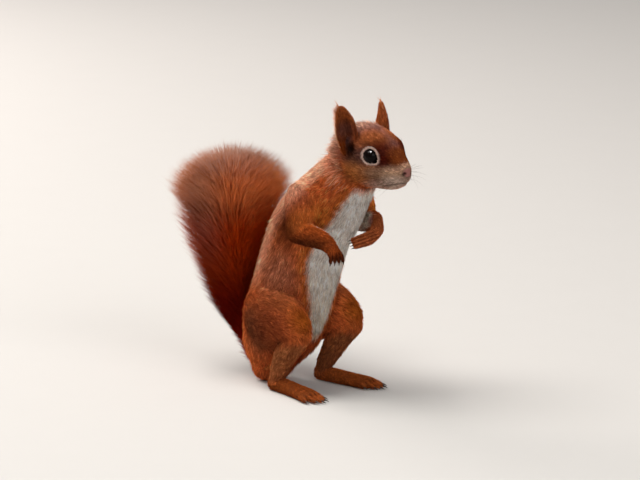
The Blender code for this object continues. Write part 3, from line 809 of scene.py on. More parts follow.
def head_markings(p, part, tone, c):
    """Face, mouth, nose and eye rings laid over the body's colour."""
    head = part["head"]
    face = blend(tone, c["crown"], head * smooth(150, 160, p[:, 2]))
    face = patches(face, p, HEAD_PATCHES, head)
    mouth, along = mouth_line(p)
    # Painted shade along the crease of the mouth.
    face = blend(face, c["lip_line"], head * 0.95 * np.exp(-(mouth / 0.5) ** 2) * along)
    edge = nose_pad(p)
    face = blend(face, c["nose"], head * smooth(1.14, 0.92, edge))
    # Painted shadow in a thin line under the nose pad.
    under = np.exp(-((edge - 1.05) / 0.08) ** 2) * smooth(161.4, 159.2, p[:, 2])
    face = blend(face, c["lip_line"], 0.7 * head * under)
    # Painted shade in the nostrils.
    nostril = np.maximum(blob(p, (101.5, 3.0, 161.2), (1.6, 1.3, 1.0)),
                         blob(p, (100.9, 3.6, 160.3), (1.3, 1.0, 0.8)))
    face = blend(face, c["pit"], 0.9 * head * nostril)
    for sign in SIDES.values():
        h, a, b, rho, reach = round_eye(p, sign)
        broad = reach + 0.15 + 0.3 * (0.6 * a + 0.8 * b) / np.maximum(rho, 1.0)
        near = head * (h > -3.0)
        face = blend(face, c["eye_ring"], near * smooth(broad + 1.55, broad + 0.95, rho))
        face = blend(face, c["pit"], near * smooth(reach + 0.4, reach + 0.05, rho))
    return face


def ear_markings(p, part, tone, c):
    """Ears: back and rim reddish, inside dark, and painted shade that makes the pit at the root black.
    """
    opening, _ = ear_axes(1.0)
    turned = skin_normal(p)
    turned[:, 1] *= np.sign(p[:, 1])
    inner = smooth(-0.1, 0.35, turned @ opening)
    shell = blend(np.repeat(c["ear_back"][None], len(p), axis=0), c["ear_in"], inner)
    shell = blend(shell, c["ear_tip"], 0.8 * inner * smooth(188, 196, p[:, 2]))
    shell = blend(shell, c["ear_grey"], 0.6 * inner * blob(p, (61, 18, 186), (7, 7, 6), 1.4))
    tone = blend(tone, shell, part["ear"] * 1.4 - 0.1)
    # Painted shade: the pit at the ear's root is made almost black.
    return blend(tone, c["pit"], 0.98 * blob(p, EAR_PIT, (4.6, 3.8, 5.6)))


def markings(p, share):
    """Colour of skin and coat at points of the body.

    A red-brown base is overlaid, in order, by soft mirrored ellipsoids, painted rim light and sheen
    along the back, the limbs, the nape, the white front, the face and the ears.
    """
    c = palette()
    part = dict(zip(PART_NAMES, share.T))
    depth = ventral(p)
    tone = np.repeat(c["russet"][None], len(p), axis=0)
    tone = patches(tone, p, BODY_PATCHES)
    back = part["trunk"] + part["neck"] + part["upper arm"]
    # Painted rim light and sheen: a pale band along the back's edge and a pale patch on the shoulder
    # hump.
    tone = blend(tone, c["painted_rim_light"], 0.9 * smooth(-3, -15, depth) * smooth(62, 90, p[:, 2]) * back)
    tone = blend(tone, c["painted_rim_light"], 0.55 * blob(p, (10, 25, 141), (13, 13, 12), 1.6))
    tone = limb_markings(p, part, tone, c)
    # Painted shade between the digits and painted light along them.
    tone = paint_digit_light_and_shade(p, part, tone)
    # Pale nape along the back of the neck: partly pale fur and partly painted sheen.
    nape = smooth(-4, -12, depth) * smooth(132, 148, p[:, 2]) * (1.0 - part["head"])
    tone = blend(tone, c["nape"], 0.62 * nape)
    tone = white_front(p, part, tone, c)
    tone = head_markings(p, part, tone, c)
    return ear_markings(p, part, tone, c)


# ------------------------------------------------------------------ coat
def unwrap(obj):
    """Lay the skin out flat in a map named OFBake and keep its corner places."""
    bpy.context.view_layer.objects.active = obj
    obj.select_set(True)
    layer = obj.data.uv_layers.new(name="OFBake")
    obj.data.uv_layers.active = layer
    bpy.ops.object.mode_set(mode="EDIT")
    bpy.ops.mesh.select_all(action="SELECT")
    bpy.ops.uv.smart_project(angle_limit=1.3, island_margin=0.004, scale_to_bounds=True)
    bpy.ops.object.mode_set(mode="OBJECT")
    obj.select_set(False)
    uv = np.empty(len(obj.data.loops) * 2, np.float32)
    obj.data.uv_layers["OFBake"].data.foreach_get("uv", uv)
    made["uv"] = uv.reshape(-1, 3, 2).astype(float)


def hair_fields():
    """Length, standing height and bareness of the hair at every skin point."""
    p, share = made["points"], made["share"]
    part = dict(zip(PART_NAMES, share.T))
    settings = bpy.context.scene.squirrel_coat
    length = share @ np.array([getattr(settings, name.replace(" ", "_")) / MM for name in PART_NAMES])
    stand = share @ np.array([DEPTH[name] for name in PART_NAMES])
    head, foot = part["head"], part["foot"]
    nose = smooth(72.0, 97.0, p[:, 0]) * head
    nape = blob(p, (53, 12, 171), (10, 12, 14))
    length = length + (1.9 - length) * nose
    length = length + (2.0 - length) * head * blob(p, (80, 14, 171), (9, 6, 9))
    length = length + (2.0 - length) * foot * smooth(28.0, 38.0, p[:, 0])
    length = length + 2.6 * nape
    stand = stand + (0.45 - stand) * nose
    stand = stand + 1.2 * nape * (1.0 - part["ear"]) + 0.5 * part["ear"]
    mouth, along = mouth_line(p)
    bare = [0.95 * blob(p, EAR_PIT, (2.8, 2.8, 4.0)),
            smooth(1.06, 1.0, nose_pad(p)) * (head > 0.3),
            0.95 * np.exp(-(mouth / 0.7) ** 2) * along * (head > 0.3),
            smooth(1.2, 0.6, p[:, 2]) * (foot > 0.4)]
    for sign in SIDES.values():
        h, _, _, rho, reach = round_eye(p, sign)
        bare.append((h > -5.0) * smooth(reach + 0.7, reach + 0.3, rho))
        length = length + (0.6 - length) * (h > -5.0) * smooth(reach + 2.8, reach + 1.2, rho)
    made.update(length=length, bare=np.maximum.reduce(bare), stand=stand)


def scatter(weight, spacing, seed):
    """Roots spread over the skin, one for each spacing squared of area times weight.

    Triangles are drawn evenly along the running sum of their weighted areas, and a root's
    place in its triangle is a folded random pair of barycentric shares.
    """
    rng = np.random.default_rng(seed)
    p, tri = made["points"], made["triangles"]
    a, b, c = p[tri[:, 0]], p[tri[:, 1]], p[tri[:, 2]]
    area = 0.5 * np.linalg.norm(np.cross(b - a, c - a), axis=1)
    amount = area * weight[tri].mean(1)
    total = np.cumsum(amount)
    count = int(total[-1] / spacing**2)
    ticks = (np.arange(count) + rng.random(count)) * total[-1] / count
    face = np.searchsorted(total, ticks).clip(0, len(tri) - 1)
    s, t = rng.random(count), rng.random(count)
    flip = s + t > 1.0
    s[flip], t[flip] = 1.0 - s[flip], 1.0 - t[flip]
    corner = np.stack([1.0 - s - t, s, t], axis=1)
    return face, corner


def at_roots(values, face, corner):
    """Values at skin points carried to the roots by their barycentric shares."""
    picked = values[made["triangles"][face]]
    if picked.ndim == 2:
        return (picked * corner).sum(1)
    return (picked * corner[:, :, None]).sum(1)


def follow(places):
    """Nearest places on the skin and the skin's normals there."""
    found = [made["tree"].find_nearest(q) for q in places.tolist()]
    spots = np.array([f[0][:] for f in found])
    facing = np.array([f[1][:] for f in found])
    return spots, facing


def gather(points, clump, seed):
    """For each point the index of its clump's leader: the nearest of every clump-th point."""
    rng = np.random.default_rng(seed)
    leaders = rng.permutation(len(points))[: max(1, len(points) // clump)]
    return leaders[nearest(point_tree(points[leaders]), points)]


def paint(mesh, tone):
    """Keep one colour for each point in the attribute that the materials read."""
    colour = np.ones((len(tone), 4), np.float32)
    colour[:, :3] = tone
    layer = mesh.color_attributes.new("tone", "FLOAT_COLOR", "POINT")
    layer.data.foreach_set("color", colour.ravel())
    return layer


def spikes(name, spines, widths, across, tone, uv, material):
    """Closed three-sided tapering locks along rows of spine points, dressed and fixed to the body.

    A lock is a point, rings of three at the inner spine points and a point again. A ring's
    corner k stands at the spine point plus width times (cos a * across + 0.6 * sin a * binormal),
    a being k thirds of a turn. Colours come with each spine point, and each lock's corners
    fill a small patch round its root's place on the skin's map.
    """
    count, stops = spines.shape[:2]
    rings = stops - 2
    along = unit(spines[:, 2:] - spines[:, :-2])
    side = unit(across[:, None] - (across[:, None] * along).sum(2, keepdims=True) * along)
    other = np.cross(along, side)
    turn = np.arange(3) * 2.0 * math.pi / 3.0
    ring = (np.cos(turn)[None, None, :, None] * side[:, :, None]
            + 0.6 * np.sin(turn)[None, None, :, None] * other[:, :, None])
    ring = spines[:, 1:-1, None] + ring * widths[:, :, None, None]
    points = np.concatenate([spines[:, :1], ring.reshape(count, rings * 3, 3), spines[:, -1:]], axis=1)
    size = rings * 3 + 2
    faces = [(0, 2, 1), (0, 3, 2), (0, 1, 3)]
    patch = [(0.5, 0.0)]
    for r in range(rings):
        for k in range(3):
            a, b = 1 + 3 * r + k, 1 + 3 * r + (k + 1) % 3
            faces += [(a, b, b + 3), (a, b + 3, a + 3)] if r < rings - 1 else [(a, b, size - 1)]
            patch.append((0.5 * k, (r + 1) / (rings + 1)))
    patch.append((0.5, 1.0))
    triangles = (np.array(faces) + np.arange(count)[:, None, None] * size).reshape(-1, 3)
    obj = triangle_object(name, place(points.reshape(-1, 3)), triangles)
    colour = np.concatenate([tone[:, :1], np.repeat(tone[:, 1:-1], 3, axis=1), tone[:, -1:]], axis=1)
    obj.data.color_attributes.active_color = paint(obj.data, colour.reshape(-1, 3))
    spot = (uv[:, None] + (np.array(patch) - 0.5) * LOCK_PATCH).reshape(-1, 2)
    layer = obj.data.uv_layers.new(name="OFBake")
    index = np.empty(len(obj.data.loops), np.int32)
    obj.data.loops.foreach_get("vertex_index", index)
    layer.data.foreach_set("uv", np.ascontiguousarray(spot[index], np.float32).ravel())
    obj.data.materials.append(material)
    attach(obj, "root")


def lock_tones(base, end, rings, tip, frost):
    """Colours along the locks: dark roots, then from the root's marking to the end's, pale tips."""
    pale = smooth(0.3, 0.7, base.mean(1))[:, None]
    tones = [(0.5 + 0.4 * pale) * base]
    for k in range(1, rings + 2):
        t = k / (rings + 1)
        dark = 0.28 * (1.0 - min(1.0, 1.4 * t)) * (1.0 - 0.8 * pale)
        light = tip * max(0.0, t - 0.5) * (1.0 - 0.7 * pale)
        tone = (base + (end - base) * (0.7 * t)) * (1.0 - dark + light)
        tones.append(tone + (palette()["nape"] - tone) * (frost * t))
    return np.stack(tones, axis=1)


def lay_hair(name, weight, spacing, seed, rings=1, clump=6, pull=0.2, grow=1.0, wide=0.15,
             rise=1.0, ragged=0.3, fleck=0.1, tip=0.8, frost=0.0):
    """Cover a region of the skin with locks that follow the lie of the coat.

    A lock starts under its root, passes over the skin a share of its length downstream and
    ends above the skin a length downstream, pulled part of the way to its clump's leader.
    """
    rng = np.random.default_rng(seed + 1000)
    face, corner = scatter(weight * (1.0 - made["bare"]), spacing, seed)
    root, normal, flow, length, stand, share, hollow = (
        at_roots(made[key], face, corner)
        for key in ("points", "normal", "flow", "length", "stand", "share", "hollow"))
    normal, flow = unit(normal), unit(flow)
    count = len(root)
    length = length * grow * (1.0 + ragged * (rng.random(count) - 0.6))
    side = np.cross(normal, flow)
    way = unit(flow + 0.28 * rng.standard_normal(count)[:, None] * side)
    leader = gather(root, clump, seed + 2000)
    chain = [root - normal * ROOT_DEPTH]
    for stop in np.linspace(0.0, 1.0, rings + 2)[1:]:
        spot, facing = follow(root + way * (length * stop)[:, None])
        lift = 1.0 + 0.25 * rng.standard_normal(count) * (stop > 0.9)
        height = stand * rise * stop**0.6 * lift
        spot = spot + facing * np.maximum(height, 0.12)[:, None]
        held = spot[leader] - spot
        near = np.clip(1.6 - np.linalg.norm(held, axis=1) / np.maximum(length, 1.0), 0.0, 1.0)
        chain.append(spot + held * (pull * stop * near)[:, None])
    spines = np.stack(chain, axis=1)
    spines[:, :, 2] = np.maximum(spines[:, :, 2], 0.3)
    widths = wide * (0.75 + 0.5 * rng.random(count))[:, None] * np.linspace(1.0, 0.55, rings)
    # Painted shade darkens the locks rooted in hollows.
    base = markings(root, share) * (1.0 - HOLLOW_SHADE * hollow)[:, None]
    end = markings(root + way * (length * 0.75)[:, None], share)
    shade = rng.standard_normal(count)
    bright = np.exp(fleck * rng.standard_normal(count) + 0.9 * fleck * shade[leader])
    tone = np.clip(lock_tones(base, end, rings, tip, frost) * bright[:, None, None], 0.0, 1.0)
    uv = (made["uv"][face] * corner[:, :, None]).sum(1)
    spikes(name, spines, widths, side, tone, uv, coat_material())


def brush_edge(t, angle):
    """Places on the tail's outline, and the stations there.

    The outline is the tail's own loft up to its widest station, over the first two thirds of t,
    and half an ellipsoid over the rest; the angle goes round the tail.
    """
    rows = [row for row in TAIL if row[2] < BRUSH_WIDEST[2]] + [BRUSH_WIDEST]
    level = np.clip((t - 0.66) / 0.34, 0.0, 1.0)
    stations, along = through(rows, np.interp(t, [0.0, 0.10, 0.66], [0.0, 0.25, 1.0]))
    hint = np.array([0.0, 1.0, 0.0])
    side = unit(hint - (along @ hint)[:, None] * along)
    up = np.cross(along, side)
    shrink = np.sqrt(np.maximum(1.0 - level**2, 0.0))[:, None]
    rise = np.where(np.sin(angle) > 0, stations[:, 4], stations[:, 5])
    section = side * (stations[:, 3] * np.cos(angle))[:, None] + up * (rise * np.sin(angle))[:, None]
    return stations[:, :3] + section * shrink + along * (BRUSH_DOME * level)[:, None], stations


def brush_tones(tip, height, broad, share, spread):
    """Colours along the tail's locks: dark near the rump, brighter above, with painted light on the
    locks nearest the animal's back where its shadow falls, and pale outermost tips that are partly
    frost and partly painted rim light along the top and sides."""
    c = palette()
    outer = blend(np.repeat(c["tail_dark"][None], len(tip), axis=0), c["tail_mid"],
                  smooth(52.0, 96.0, height))
    outer = blend(outer, c["tail_upper"], smooth(104.0, 140.0, height))
    # Painted light on the locks nearest the body, where the body's shadow falls on the tail.
    outer = outer * (1.0 + 0.85 * smooth(-66.0, -34.0, tip[:, 0]))[:, None]
    # Pale tips at the top and along the sides: partly frost and partly painted rim light.
    frost = np.maximum(smooth(138.0, 156.0, height),
                       0.5 * smooth(0.6, 1.0, broad) * smooth(70, 120, height))
    frost = frost * smooth(0.86, 0.98, share)
    return np.stack([blend(outer * (0.85 + 0.15 * smooth(0.05, 0.7, q)), c["tail_tip"],
                           0.85 * frost * smooth(0.45, 1.0, q)) for q in spread], axis=1)


def tail_hair(name, count, seed, reach, width, rings=2):
    """Long locks of the tail, from the thin bony core out to the brush's outline.

    A lock is a quadratic curve: its root is on the core, a drop below the tip that grows with
    the brush's width, and its middle leans outwards and along the core.
    """
    rng = np.random.default_rng(seed)
    t = (np.arange(count) + rng.random(count)) / count
    angle = 2.0 * math.pi * rng.random(count)
    edge, stations = brush_edge(t, angle)
    drop = (0.30 + 0.35 * rng.random(count)) * stations[:, 3] + 2.0
    ladder, _ = through(TAIL_CORE, 200)
    at = np.interp(edge[:, 2] - drop, ladder[:, 2], np.linspace(0.0, 1.0, len(ladder)))
    core, way = through(TAIL_CORE, np.clip(at + 0.02 * rng.standard_normal(count), 0.0, 1.0))
    out = unit(edge - core[:, :3])
    root = core[:, :3] + out * (0.4 * core[:, 3:4])
    share = reach[0] + (reach[1] - reach[0]) * rng.random(count) ** 0.7
    tip = root + (edge - root) * share[:, None]
    tip = tip + rng.standard_normal((count, 3)) * (0.8 + 0.02 * stations[:, 3:4])
    bow = unit(out + 0.28 * unit(edge - stations[:, :3] + 1e-6) - 0.10 * way)
    middle = root + bow * (0.52 * np.linalg.norm(tip - root, axis=1))[:, None]
    spread = np.linspace(0.0, 1.0, rings + 2)
    spines = np.stack([root * (1 - q) ** 2 + middle * (2 * q * (1 - q)) + tip * q**2
                       for q in spread], axis=1)
    spines[:, :, 2] = np.maximum(spines[:, :, 2], 0.6)
    widths = width * (0.7 + 0.6 * rng.random(count))[:, None] * np.linspace(1.0, 0.62, rings)
    height = tip[:, 2] + 3.0 * rng.standard_normal(count)
    bright = np.exp(0.07 * rng.standard_normal(count))[:, None]
    tone = brush_tones(tip, height, np.abs(np.cos(angle)), share, spread) * bright[:, None]
    uv = np.stack([angle / (2 * math.pi), (np.arange(count) + 0.5) / count], axis=1) * 0.97 + 0.015
    across = unit(np.cross(out, way))
    spikes(name, spines, widths, across, np.clip(tone, 0.0, 1.0), uv, coat_material("tail hair"))


def fine_hairs(name, spines, width, tone):
    """Tapering hairs along rows of spine points, on the map at the nearest skin triangle."""
    along = unit(spines[:, -1] - spines[:, 0])
    across = unit(np.cross(along, np.array([0.31, 0.52, 0.79])))
    widths = np.full((len(spines), 1), width) * np.linspace(1.0, 0.4, spines.shape[1] - 2)
    faces = [made["tree"].find_nearest(root)[2] for root in spines[:, 0].tolist()]
    uv = made["uv"][faces].mean(1)
    spikes(name, spines, widths, across, np.clip(tone, 0.0, 1.0), uv, coat_material())


def bent(root, way, bend, long, q):
    """Spine point of a bent hair: the direction turns from way to bend as q goes from 0 to 1."""
    return root + (way * (1 - max(q, 0)) + bend * max(q, 0)) * (long * q)


def ear_fringe(count, seed):
    """Hairs along both edges of the ears, longer towards the tips, leaning out and up."""
    rng = np.random.default_rng(seed)
    c = palette()
    roots, ways, longs = [], [], []
    for flank, sign in SIDES.items():
        t = 0.16 + 0.84 * rng.random(count) ** 0.75
        t = np.where(rng.random(count) < 0.05, 0.97 + 0.03 * rng.random(count), t)
        s, along = through(ear_rows(flank), t)
        opening, across = ear_axes(sign)
        edge = np.where(rng.random(count) < 0.68, -1.0, 1.0) * np.sign(across[0])
        back = (edge * across[0] < 0)
        roots.append(s[:, :3] + across * (edge * s[:, 3] * 0.92)[:, None] - opening * 0.3)
        lean = edge[:, None] * across * (0.10 + 0.70 * back)[:, None]
        wild = 0.20 * rng.standard_normal((count, 3))
        point = smooth(0.85, 1.0, t)[:, None]
        rear = np.array([-0.5, 0.25 * sign, 0.0])
        ways.append(unit(along * 0.8 + lean * (1.0 - point) + wild + rear * (0.25 + 0.35 * point)))
        tuft = 1.0 + 1.3 * (t > 0.96) * (rng.random(count) < 0.2)
        edge_length = 1.5 + 2.0 * back * (1.0 - 0.6 * point[:, 0])
        longs.append(edge_length * (0.6 + 0.7 * rng.random(count)) * tuft)
    root, way, long = np.vstack(roots), np.vstack(ways), np.concatenate(longs)[:, None]
    sag = unit(way + np.array([-0.25, 0.0, 0.1]))
    spines = np.stack([bent(root, way, sag, long, q) for q in np.linspace(-0.12, 1.0, 4)], axis=1)
    bright = np.exp(0.25 * rng.standard_normal(len(root)))[:, None, None]
    mix = 0.6 * smooth(190.0, 200.0, root[:, 2])[:, None]
    # Pale rim hairs, lighter towards their tips: partly pale hair and partly painted rim light.
    shade = c["ear_rim"] + (c["ear_back"] - c["ear_rim"]) * mix
    tone = shade[:, None] * np.array([0.6, 0.9, 1.1, 1.3])[:, None] * bright
    fine_hairs("coat_ear_fringe", spines, 0.10, tone)


def whiskers(seed):
    """Long fine whiskers: four rows of four on each pad of the muzzle and three over each eye."""
    rng = np.random.default_rng(seed)
    rows = []
    for sign in SIDES.values():
        for row in range(4):
            for k in range(4):
                rows.append(((96.5 - 2.1 * k - 0.5 * row, 6.2 + 0.55 * k, 161.6 - 1.75 * row),
                             (0.30 - 0.28 * k, 1.0, 0.14 - 0.16 * row),
                             18.0 + 4.0 * k + 3.0 * rng.random(), sign))
        rows += [((84.0 - 1.6 * k, 11.0 + 0.5 * k, 178.2), (-0.05 - 0.2 * k, 1.0, 0.35),
                  5.0 + 1.5 * k, sign) for k in range(3)]
    spines = []
    for root, way, long, sign in rows:
        mirror = np.array([1.0, sign, 1.0])
        root = np.array(made["tree"].find_nearest((root * mirror).tolist())[0][:])
        way = unit((way + 0.06 * rng.standard_normal(3)) * mirror)
        bend = unit(way + np.array([-0.45, 0.0, -0.22]))
        spines.append([bent(root, way, bend, long, q) for q in np.linspace(-0.03, 1.0, 6)])
    spines = np.array(spines)
    fine_hairs("whiskers", spines, 0.075, np.broadcast_to(palette()["whisker"], spines.shape))


# ------------------------------------------------------------------ materials
def shader(name, roughness, gloss):
    """A new material, its node tree and its Principled shader with the two constants set."""
    material = bpy.data.materials.new(name)
    material.use_nodes = True
    body = material.node_tree.nodes["Principled BSDF"]
    body.inputs["Roughness"].default_value = roughness
    body.inputs["Specular IOR Level"].default_value = gloss
    return material, material.node_tree, body


def noise(tree, scale, detail):
    """Strength of a noise texture on object coordinates."""
    node = tree.nodes.new("ShaderNodeTexNoise")
    node.inputs["Scale"].default_value = scale
    node.inputs["Detail"].default_value = detail
    place_in = tree.nodes.new("ShaderNodeTexCoord")
    tree.links.new(place_in.outputs["Object"], node.inputs["Vector"])
    return node.outputs["Fac"]


def mottled(name, roughness, gloss, scale, detail, low, high):
    """Finish in the colours of the tone attribute, scaled by noise between two levels."""
    material, tree, body = shader(name, roughness, gloss)
    tone = tree.nodes.new("ShaderNodeAttribute")
    tone.attribute_name = "tone"
    levels = tree.nodes.new("ShaderNodeMapRange")
    levels.inputs["To Min"].default_value = low
    levels.inputs["To Max"].default_value = high
    tree.links.new(noise(tree, scale, detail), levels.inputs["Value"])
    multiply = tree.nodes.new("ShaderNodeVectorMath")
    multiply.operation = "SCALE"
    tree.links.new(tone.outputs["Color"], multiply.inputs[0])
    tree.links.new(levels.outputs["Result"], multiply.inputs["Scale"])
    tree.links.new(multiply.outputs["Vector"], body.inputs["Base Color"])
    return material, tree, body


def streaked(name, roughness, gloss, scale, detail, dark, light):
    """Finish that runs from a dark colour to a light one with noise."""
    material, tree, body = shader(name, roughness, gloss)
    ramp = tree.nodes.new("ShaderNodeValToRGB")
    ramp.color_ramp.elements[0].color = (*dark, 1.0)
    ramp.color_ramp.elements[1].color = (*light, 1.0)
    tree.links.new(noise(tree, scale, detail), ramp.inputs["Fac"])
    tree.links.new(ramp.outputs["Color"], body.inputs["Base Color"])
    return material


def coat_material(name="fur"):
    """Hair: the tone attribute with soft mottling, matt; made once for each name."""
    if name not in bpy.data.materials:
        mottled(name, 0.7, 0.0, 260.0, 3.0, 0.76, 1.24)
    return bpy.data.materials[name]


def skin_material():
    """Skin under the coat: the tone attribute with close mottling and fine bumps."""
    material, tree, body = mottled("skin", 0.6, 0.02, 900.0, 4.0, 0.75, 1.15)
    bump_node = tree.nodes.new("ShaderNodeBump")
    bump_node.inputs["Distance"].default_value = 0.0003
    bump_node.inputs["Strength"].default_value = 0.5
    tree.links.new(noise(tree, 2200.0, 3.0), bump_node.inputs["Height"])
    tree.links.new(bump_node.outputs["Normal"], body.inputs["Normal"])
    return material


def eyeball(name, material):
    """Smooth ball in the place of a faceted one: the middle and radius of that eye's box.

    A point is the middle plus the radius times (sin a * cos b, sin a * sin b, -cos a).
    """
    low, high = (np.array(corner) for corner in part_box(name))
    a = math.pi * np.arange(1, BALL_RINGS + 1)[:, None] / (BALL_RINGS + 1)
    b = 2.0 * math.pi * np.arange(BALL_SIDES) / BALL_SIDES
    ball = np.stack([np.sin(a) * np.cos(b), np.sin(a) * np.sin(b), -np.cos(a) + 0.0 * b], axis=-1)
    ball = np.vstack([ball.reshape(-1, 3), [(0.0, 0.0, -1.0), (0.0, 0.0, 1.0)]])
    faces = ring_quads(BALL_RINGS, BALL_SIDES).tolist() + pole_fans(BALL_RINGS, BALL_SIDES).tolist()
    obj = mesh_object("ball_" + name, (low + high) / 2 + ball * (high - low)[2] / 2, faces)
    obj.data.shade_smooth()
    obj.data.materials.append(material)
    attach(obj, "root")
    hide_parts(name)


# ------------------------------------------------------------------ settings
COLOURS = {
    # The dark red-brown on the next line is painted shade, for the hollow behind the elbow and the
    # forearm's underside.
    "russet": (0.600, 0.130, 0.036), "chestnut": (0.085, 0.020, 0.007),
    "knee": (0.400, 0.098, 0.012), "orange": (0.600, 0.155, 0.032),
    # The bright colour on the next line is painted light for the groove between the arm and the chest.
    "bright": (1.000, 0.260, 0.048), "pad": (0.550, 0.270, 0.230),
    "wash": (0.390, 0.140, 0.078), "grey": (0.140, 0.060, 0.032),
    "shoulder": (0.330, 0.066, 0.022), "haunch": (0.230, 0.050, 0.018),
    # The first colour on the next line is painted rim light and sheen; the nape colour is partly pale
    # fur and partly painted sheen.
    "painted_rim_light": (0.920, 0.370, 0.220), "nape": (0.740, 0.380, 0.240),
    "white": (0.980, 0.860, 0.770), "belly": (0.900, 0.780, 0.640),
    "shin": (0.345, 0.128, 0.048), "foot": (0.420, 0.100, 0.022),
    "forearm": (0.450, 0.088, 0.016), "hand": (0.360, 0.070, 0.014),
    "finger": (0.090, 0.018, 0.006), "left_hand": (0.480, 0.125, 0.042),
    "crown": (0.185, 0.083, 0.075), "fore": (0.400, 0.110, 0.025),
    "brow": (0.066, 0.005, 0.0005), "bridge": (0.180, 0.040, 0.006),
    "temple": (0.110, 0.042, 0.024), "cheek": (0.400, 0.145, 0.048),
    "throat": (0.540, 0.170, 0.044), "grey_tan": (0.440, 0.245, 0.150),
    "tan": (0.590, 0.350, 0.215), "cream": (0.640, 0.460, 0.370),
    "eye_ring": (0.850, 0.590, 0.490), "nose": (0.290, 0.120, 0.100),
    # The pit colour on the next line is painted shade in the ear pits and nostrils, and the dark rim of
    # the lids.
    "lip_line": (0.030, 0.014, 0.010), "pit": (0.006, 0.002, 0.001),
    "ear_in": (0.230, 0.042, 0.007), "ear_tip": (0.340, 0.085, 0.022),
    "ear_grey": (0.190, 0.080, 0.060), "ear_back": (0.330, 0.080, 0.022),
    "ear_rim": (0.860, 0.420, 0.220), "tail_dark": (0.140, 0.006, 0.002),
    "tail_mid": (0.335, 0.033, 0.002), "tail_upper": (0.400, 0.112, 0.033),
    # The tail tip colour on the next line is partly frost and partly painted rim light.
    "tail_tip": (0.335, 0.240, 0.205), "whisker": (0.030, 0.018, 0.014),
}


def colour_setting(name, what, default):
    """A colour in linear light."""
    return bpy.props.FloatVectorProperty(name=name.capitalize(), description=what, default=default,
                                         size=3, min=0.0, max=1.0, subtype="COLOR")


def length_setting(name, what, default, least=0.0, most=100.0):
    """A length in metres."""
    return bpy.props.FloatProperty(name=name.capitalize(), description=what, default=default,
                                   min=least, max=most, subtype="DISTANCE", unit="LENGTH")


def angle_setting(name, what, degrees):
    """An angle, kept in radians."""
    return bpy.props.FloatProperty(name=name, description=what, default=math.radians(degrees),
                                   subtype="ANGLE", unit="ROTATION")


class SquirrelColours(bpy.types.PropertyGroup):
    """Colours of the coat, in linear light."""
    __annotations__ = {
        name: colour_setting(name.replace("_", " "), "Colour of the coat: " + name.replace("_", " "),
                             colour) for name, colour in COLOURS.items()}


class SquirrelCoat(bpy.types.PropertyGroup):
    """Length of the hair, part by part."""
    __annotations__ = {
        name.replace(" ", "_"): length_setting(name, "Length of the hair on the " + name,
                                               long * MM, most=LONGEST_HAIR)
        for name, long in HAIR_LENGTHS.items()}


class SquirrelStage(bpy.types.PropertyGroup):
    """Camera, floor and light."""
    azimuth: angle_setting("Azimuth", "Camera's turn round the animal", -45.0)
    elevation: angle_setting("Elevation", "Camera's height as an angle", 12.0)
    distance: length_setting("Distance", "Camera's distance", 3.5, least=0.5)
    lens: bpy.props.FloatProperty(name="Lens", description="Focal length in millimetres",
                                  default=289.5, min=10.0)
    floor: colour_setting("Floor", "Colour of the floor", (0.62, 0.60, 0.57))


# ------------------------------------------------------------------ operators
def need(*keys):
    """Stop with an error where an earlier step hasn't been run."""
    missing = [key for key in keys if key not in made]
    if missing:
        raise RuntimeError("make the skin first: missing " + ", ".join(missing))


class SQUIRREL_OT_skin(bpy.types.Operator):
    """Make the skin, one surface over body, limbs, ears and the tail's core"""
    bl_idname = "squirrel.skin"
    bl_label = "Skin"

    def execute(self, context):
        skin = make_skin()
        hair_fields()
        unwrap(skin)
        # Painted shade: the skin is darkened where the coat covers it and in its hollows; bare skin is
        # not darkened by the coat.
        shade = (0.55 + 0.45 * made["bare"]) * (1.0 - HOLLOW_SHADE * made["hollow"])
        paint(skin.data, markings(made["points"], made["share"]) * shade[:, None])
        skin.data.materials.append(skin_material())
        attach(skin, "root")
        flesh = [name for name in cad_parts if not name.startswith(("eye_", "claw_"))]
        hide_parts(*flesh)
        return {"FINISHED"}


def part_weight(*names):
    """Summed shares of the named parts at every skin point."""
    return sum(made["share"][:, PART_NAMES.index(name)] for name in names)


class SQUIRREL_OT_body_fur(bpy.types.Operator):
    """Cover trunk, neck, haunches and arms with soft locks and finer guard hairs"""
    bl_idname = "squirrel.body_fur"
    bl_label = "Body fur"

    def execute(self, context):
        need("tree", "uv")
        for i, (name, (parts, spacing, fleck)) in enumerate(BODY_COATS.items()):
            weight = part_weight(*parts)
            lay_hair(f"coat_{name}_under", weight, spacing, seed=10 + i, wide=0.32, grow=0.88,
                     rise=0.62, clump=8, pull=0.35, fleck=0.6 * fleck, tip=0.15)
            lay_hair(f"coat_{name}_guard", weight, spacing * 0.92, seed=30 + i, grow=1.12, rise=0.95,
                     pull=0.6, fleck=fleck)
        return {"FINISHED"}


class SQUIRREL_OT_head_fur(bpy.types.Operator):
    """Cover the head with short fine locks"""
    bl_idname = "squirrel.head_fur"
    bl_label = "Head fur"

    def execute(self, context):
        need("tree", "uv")
        head, p = part_weight("head"), made["points"]
        lay_hair("coat_head_under", head, 0.54, seed=50, wide=0.21, grow=0.9, rise=0.6, clump=8,
                 pull=0.25, fleck=0.12, tip=0.1)
        lay_hair("coat_head_guard", head, 0.54, seed=51, wide=0.11, grow=1.2, rise=0.95, clump=5,
                 pull=0.5, fleck=0.30)
        ruff = blob(p, (55, 13, 170), (12, 12, 16)) * part_weight("head", "neck")
        ruff = ruff * smooth(61.0, 55.0, p[:, 0]) * (1.0 - part_weight("ear"))
        ruff = np.maximum(ruff, 0.5 * blob(p, (62, 4, 189), (8, 9, 6)) * head)
        # The ruff's tips pale towards the nape colour: partly pale fur and partly painted sheen.
        lay_hair("coat_ruff", ruff, 0.85, seed=52, rings=2, wide=0.11, grow=1.3, rise=2.3, clump=3,
                 pull=0.3, ragged=0.7, fleck=0.3, frost=0.85)
        return {"FINISHED"}


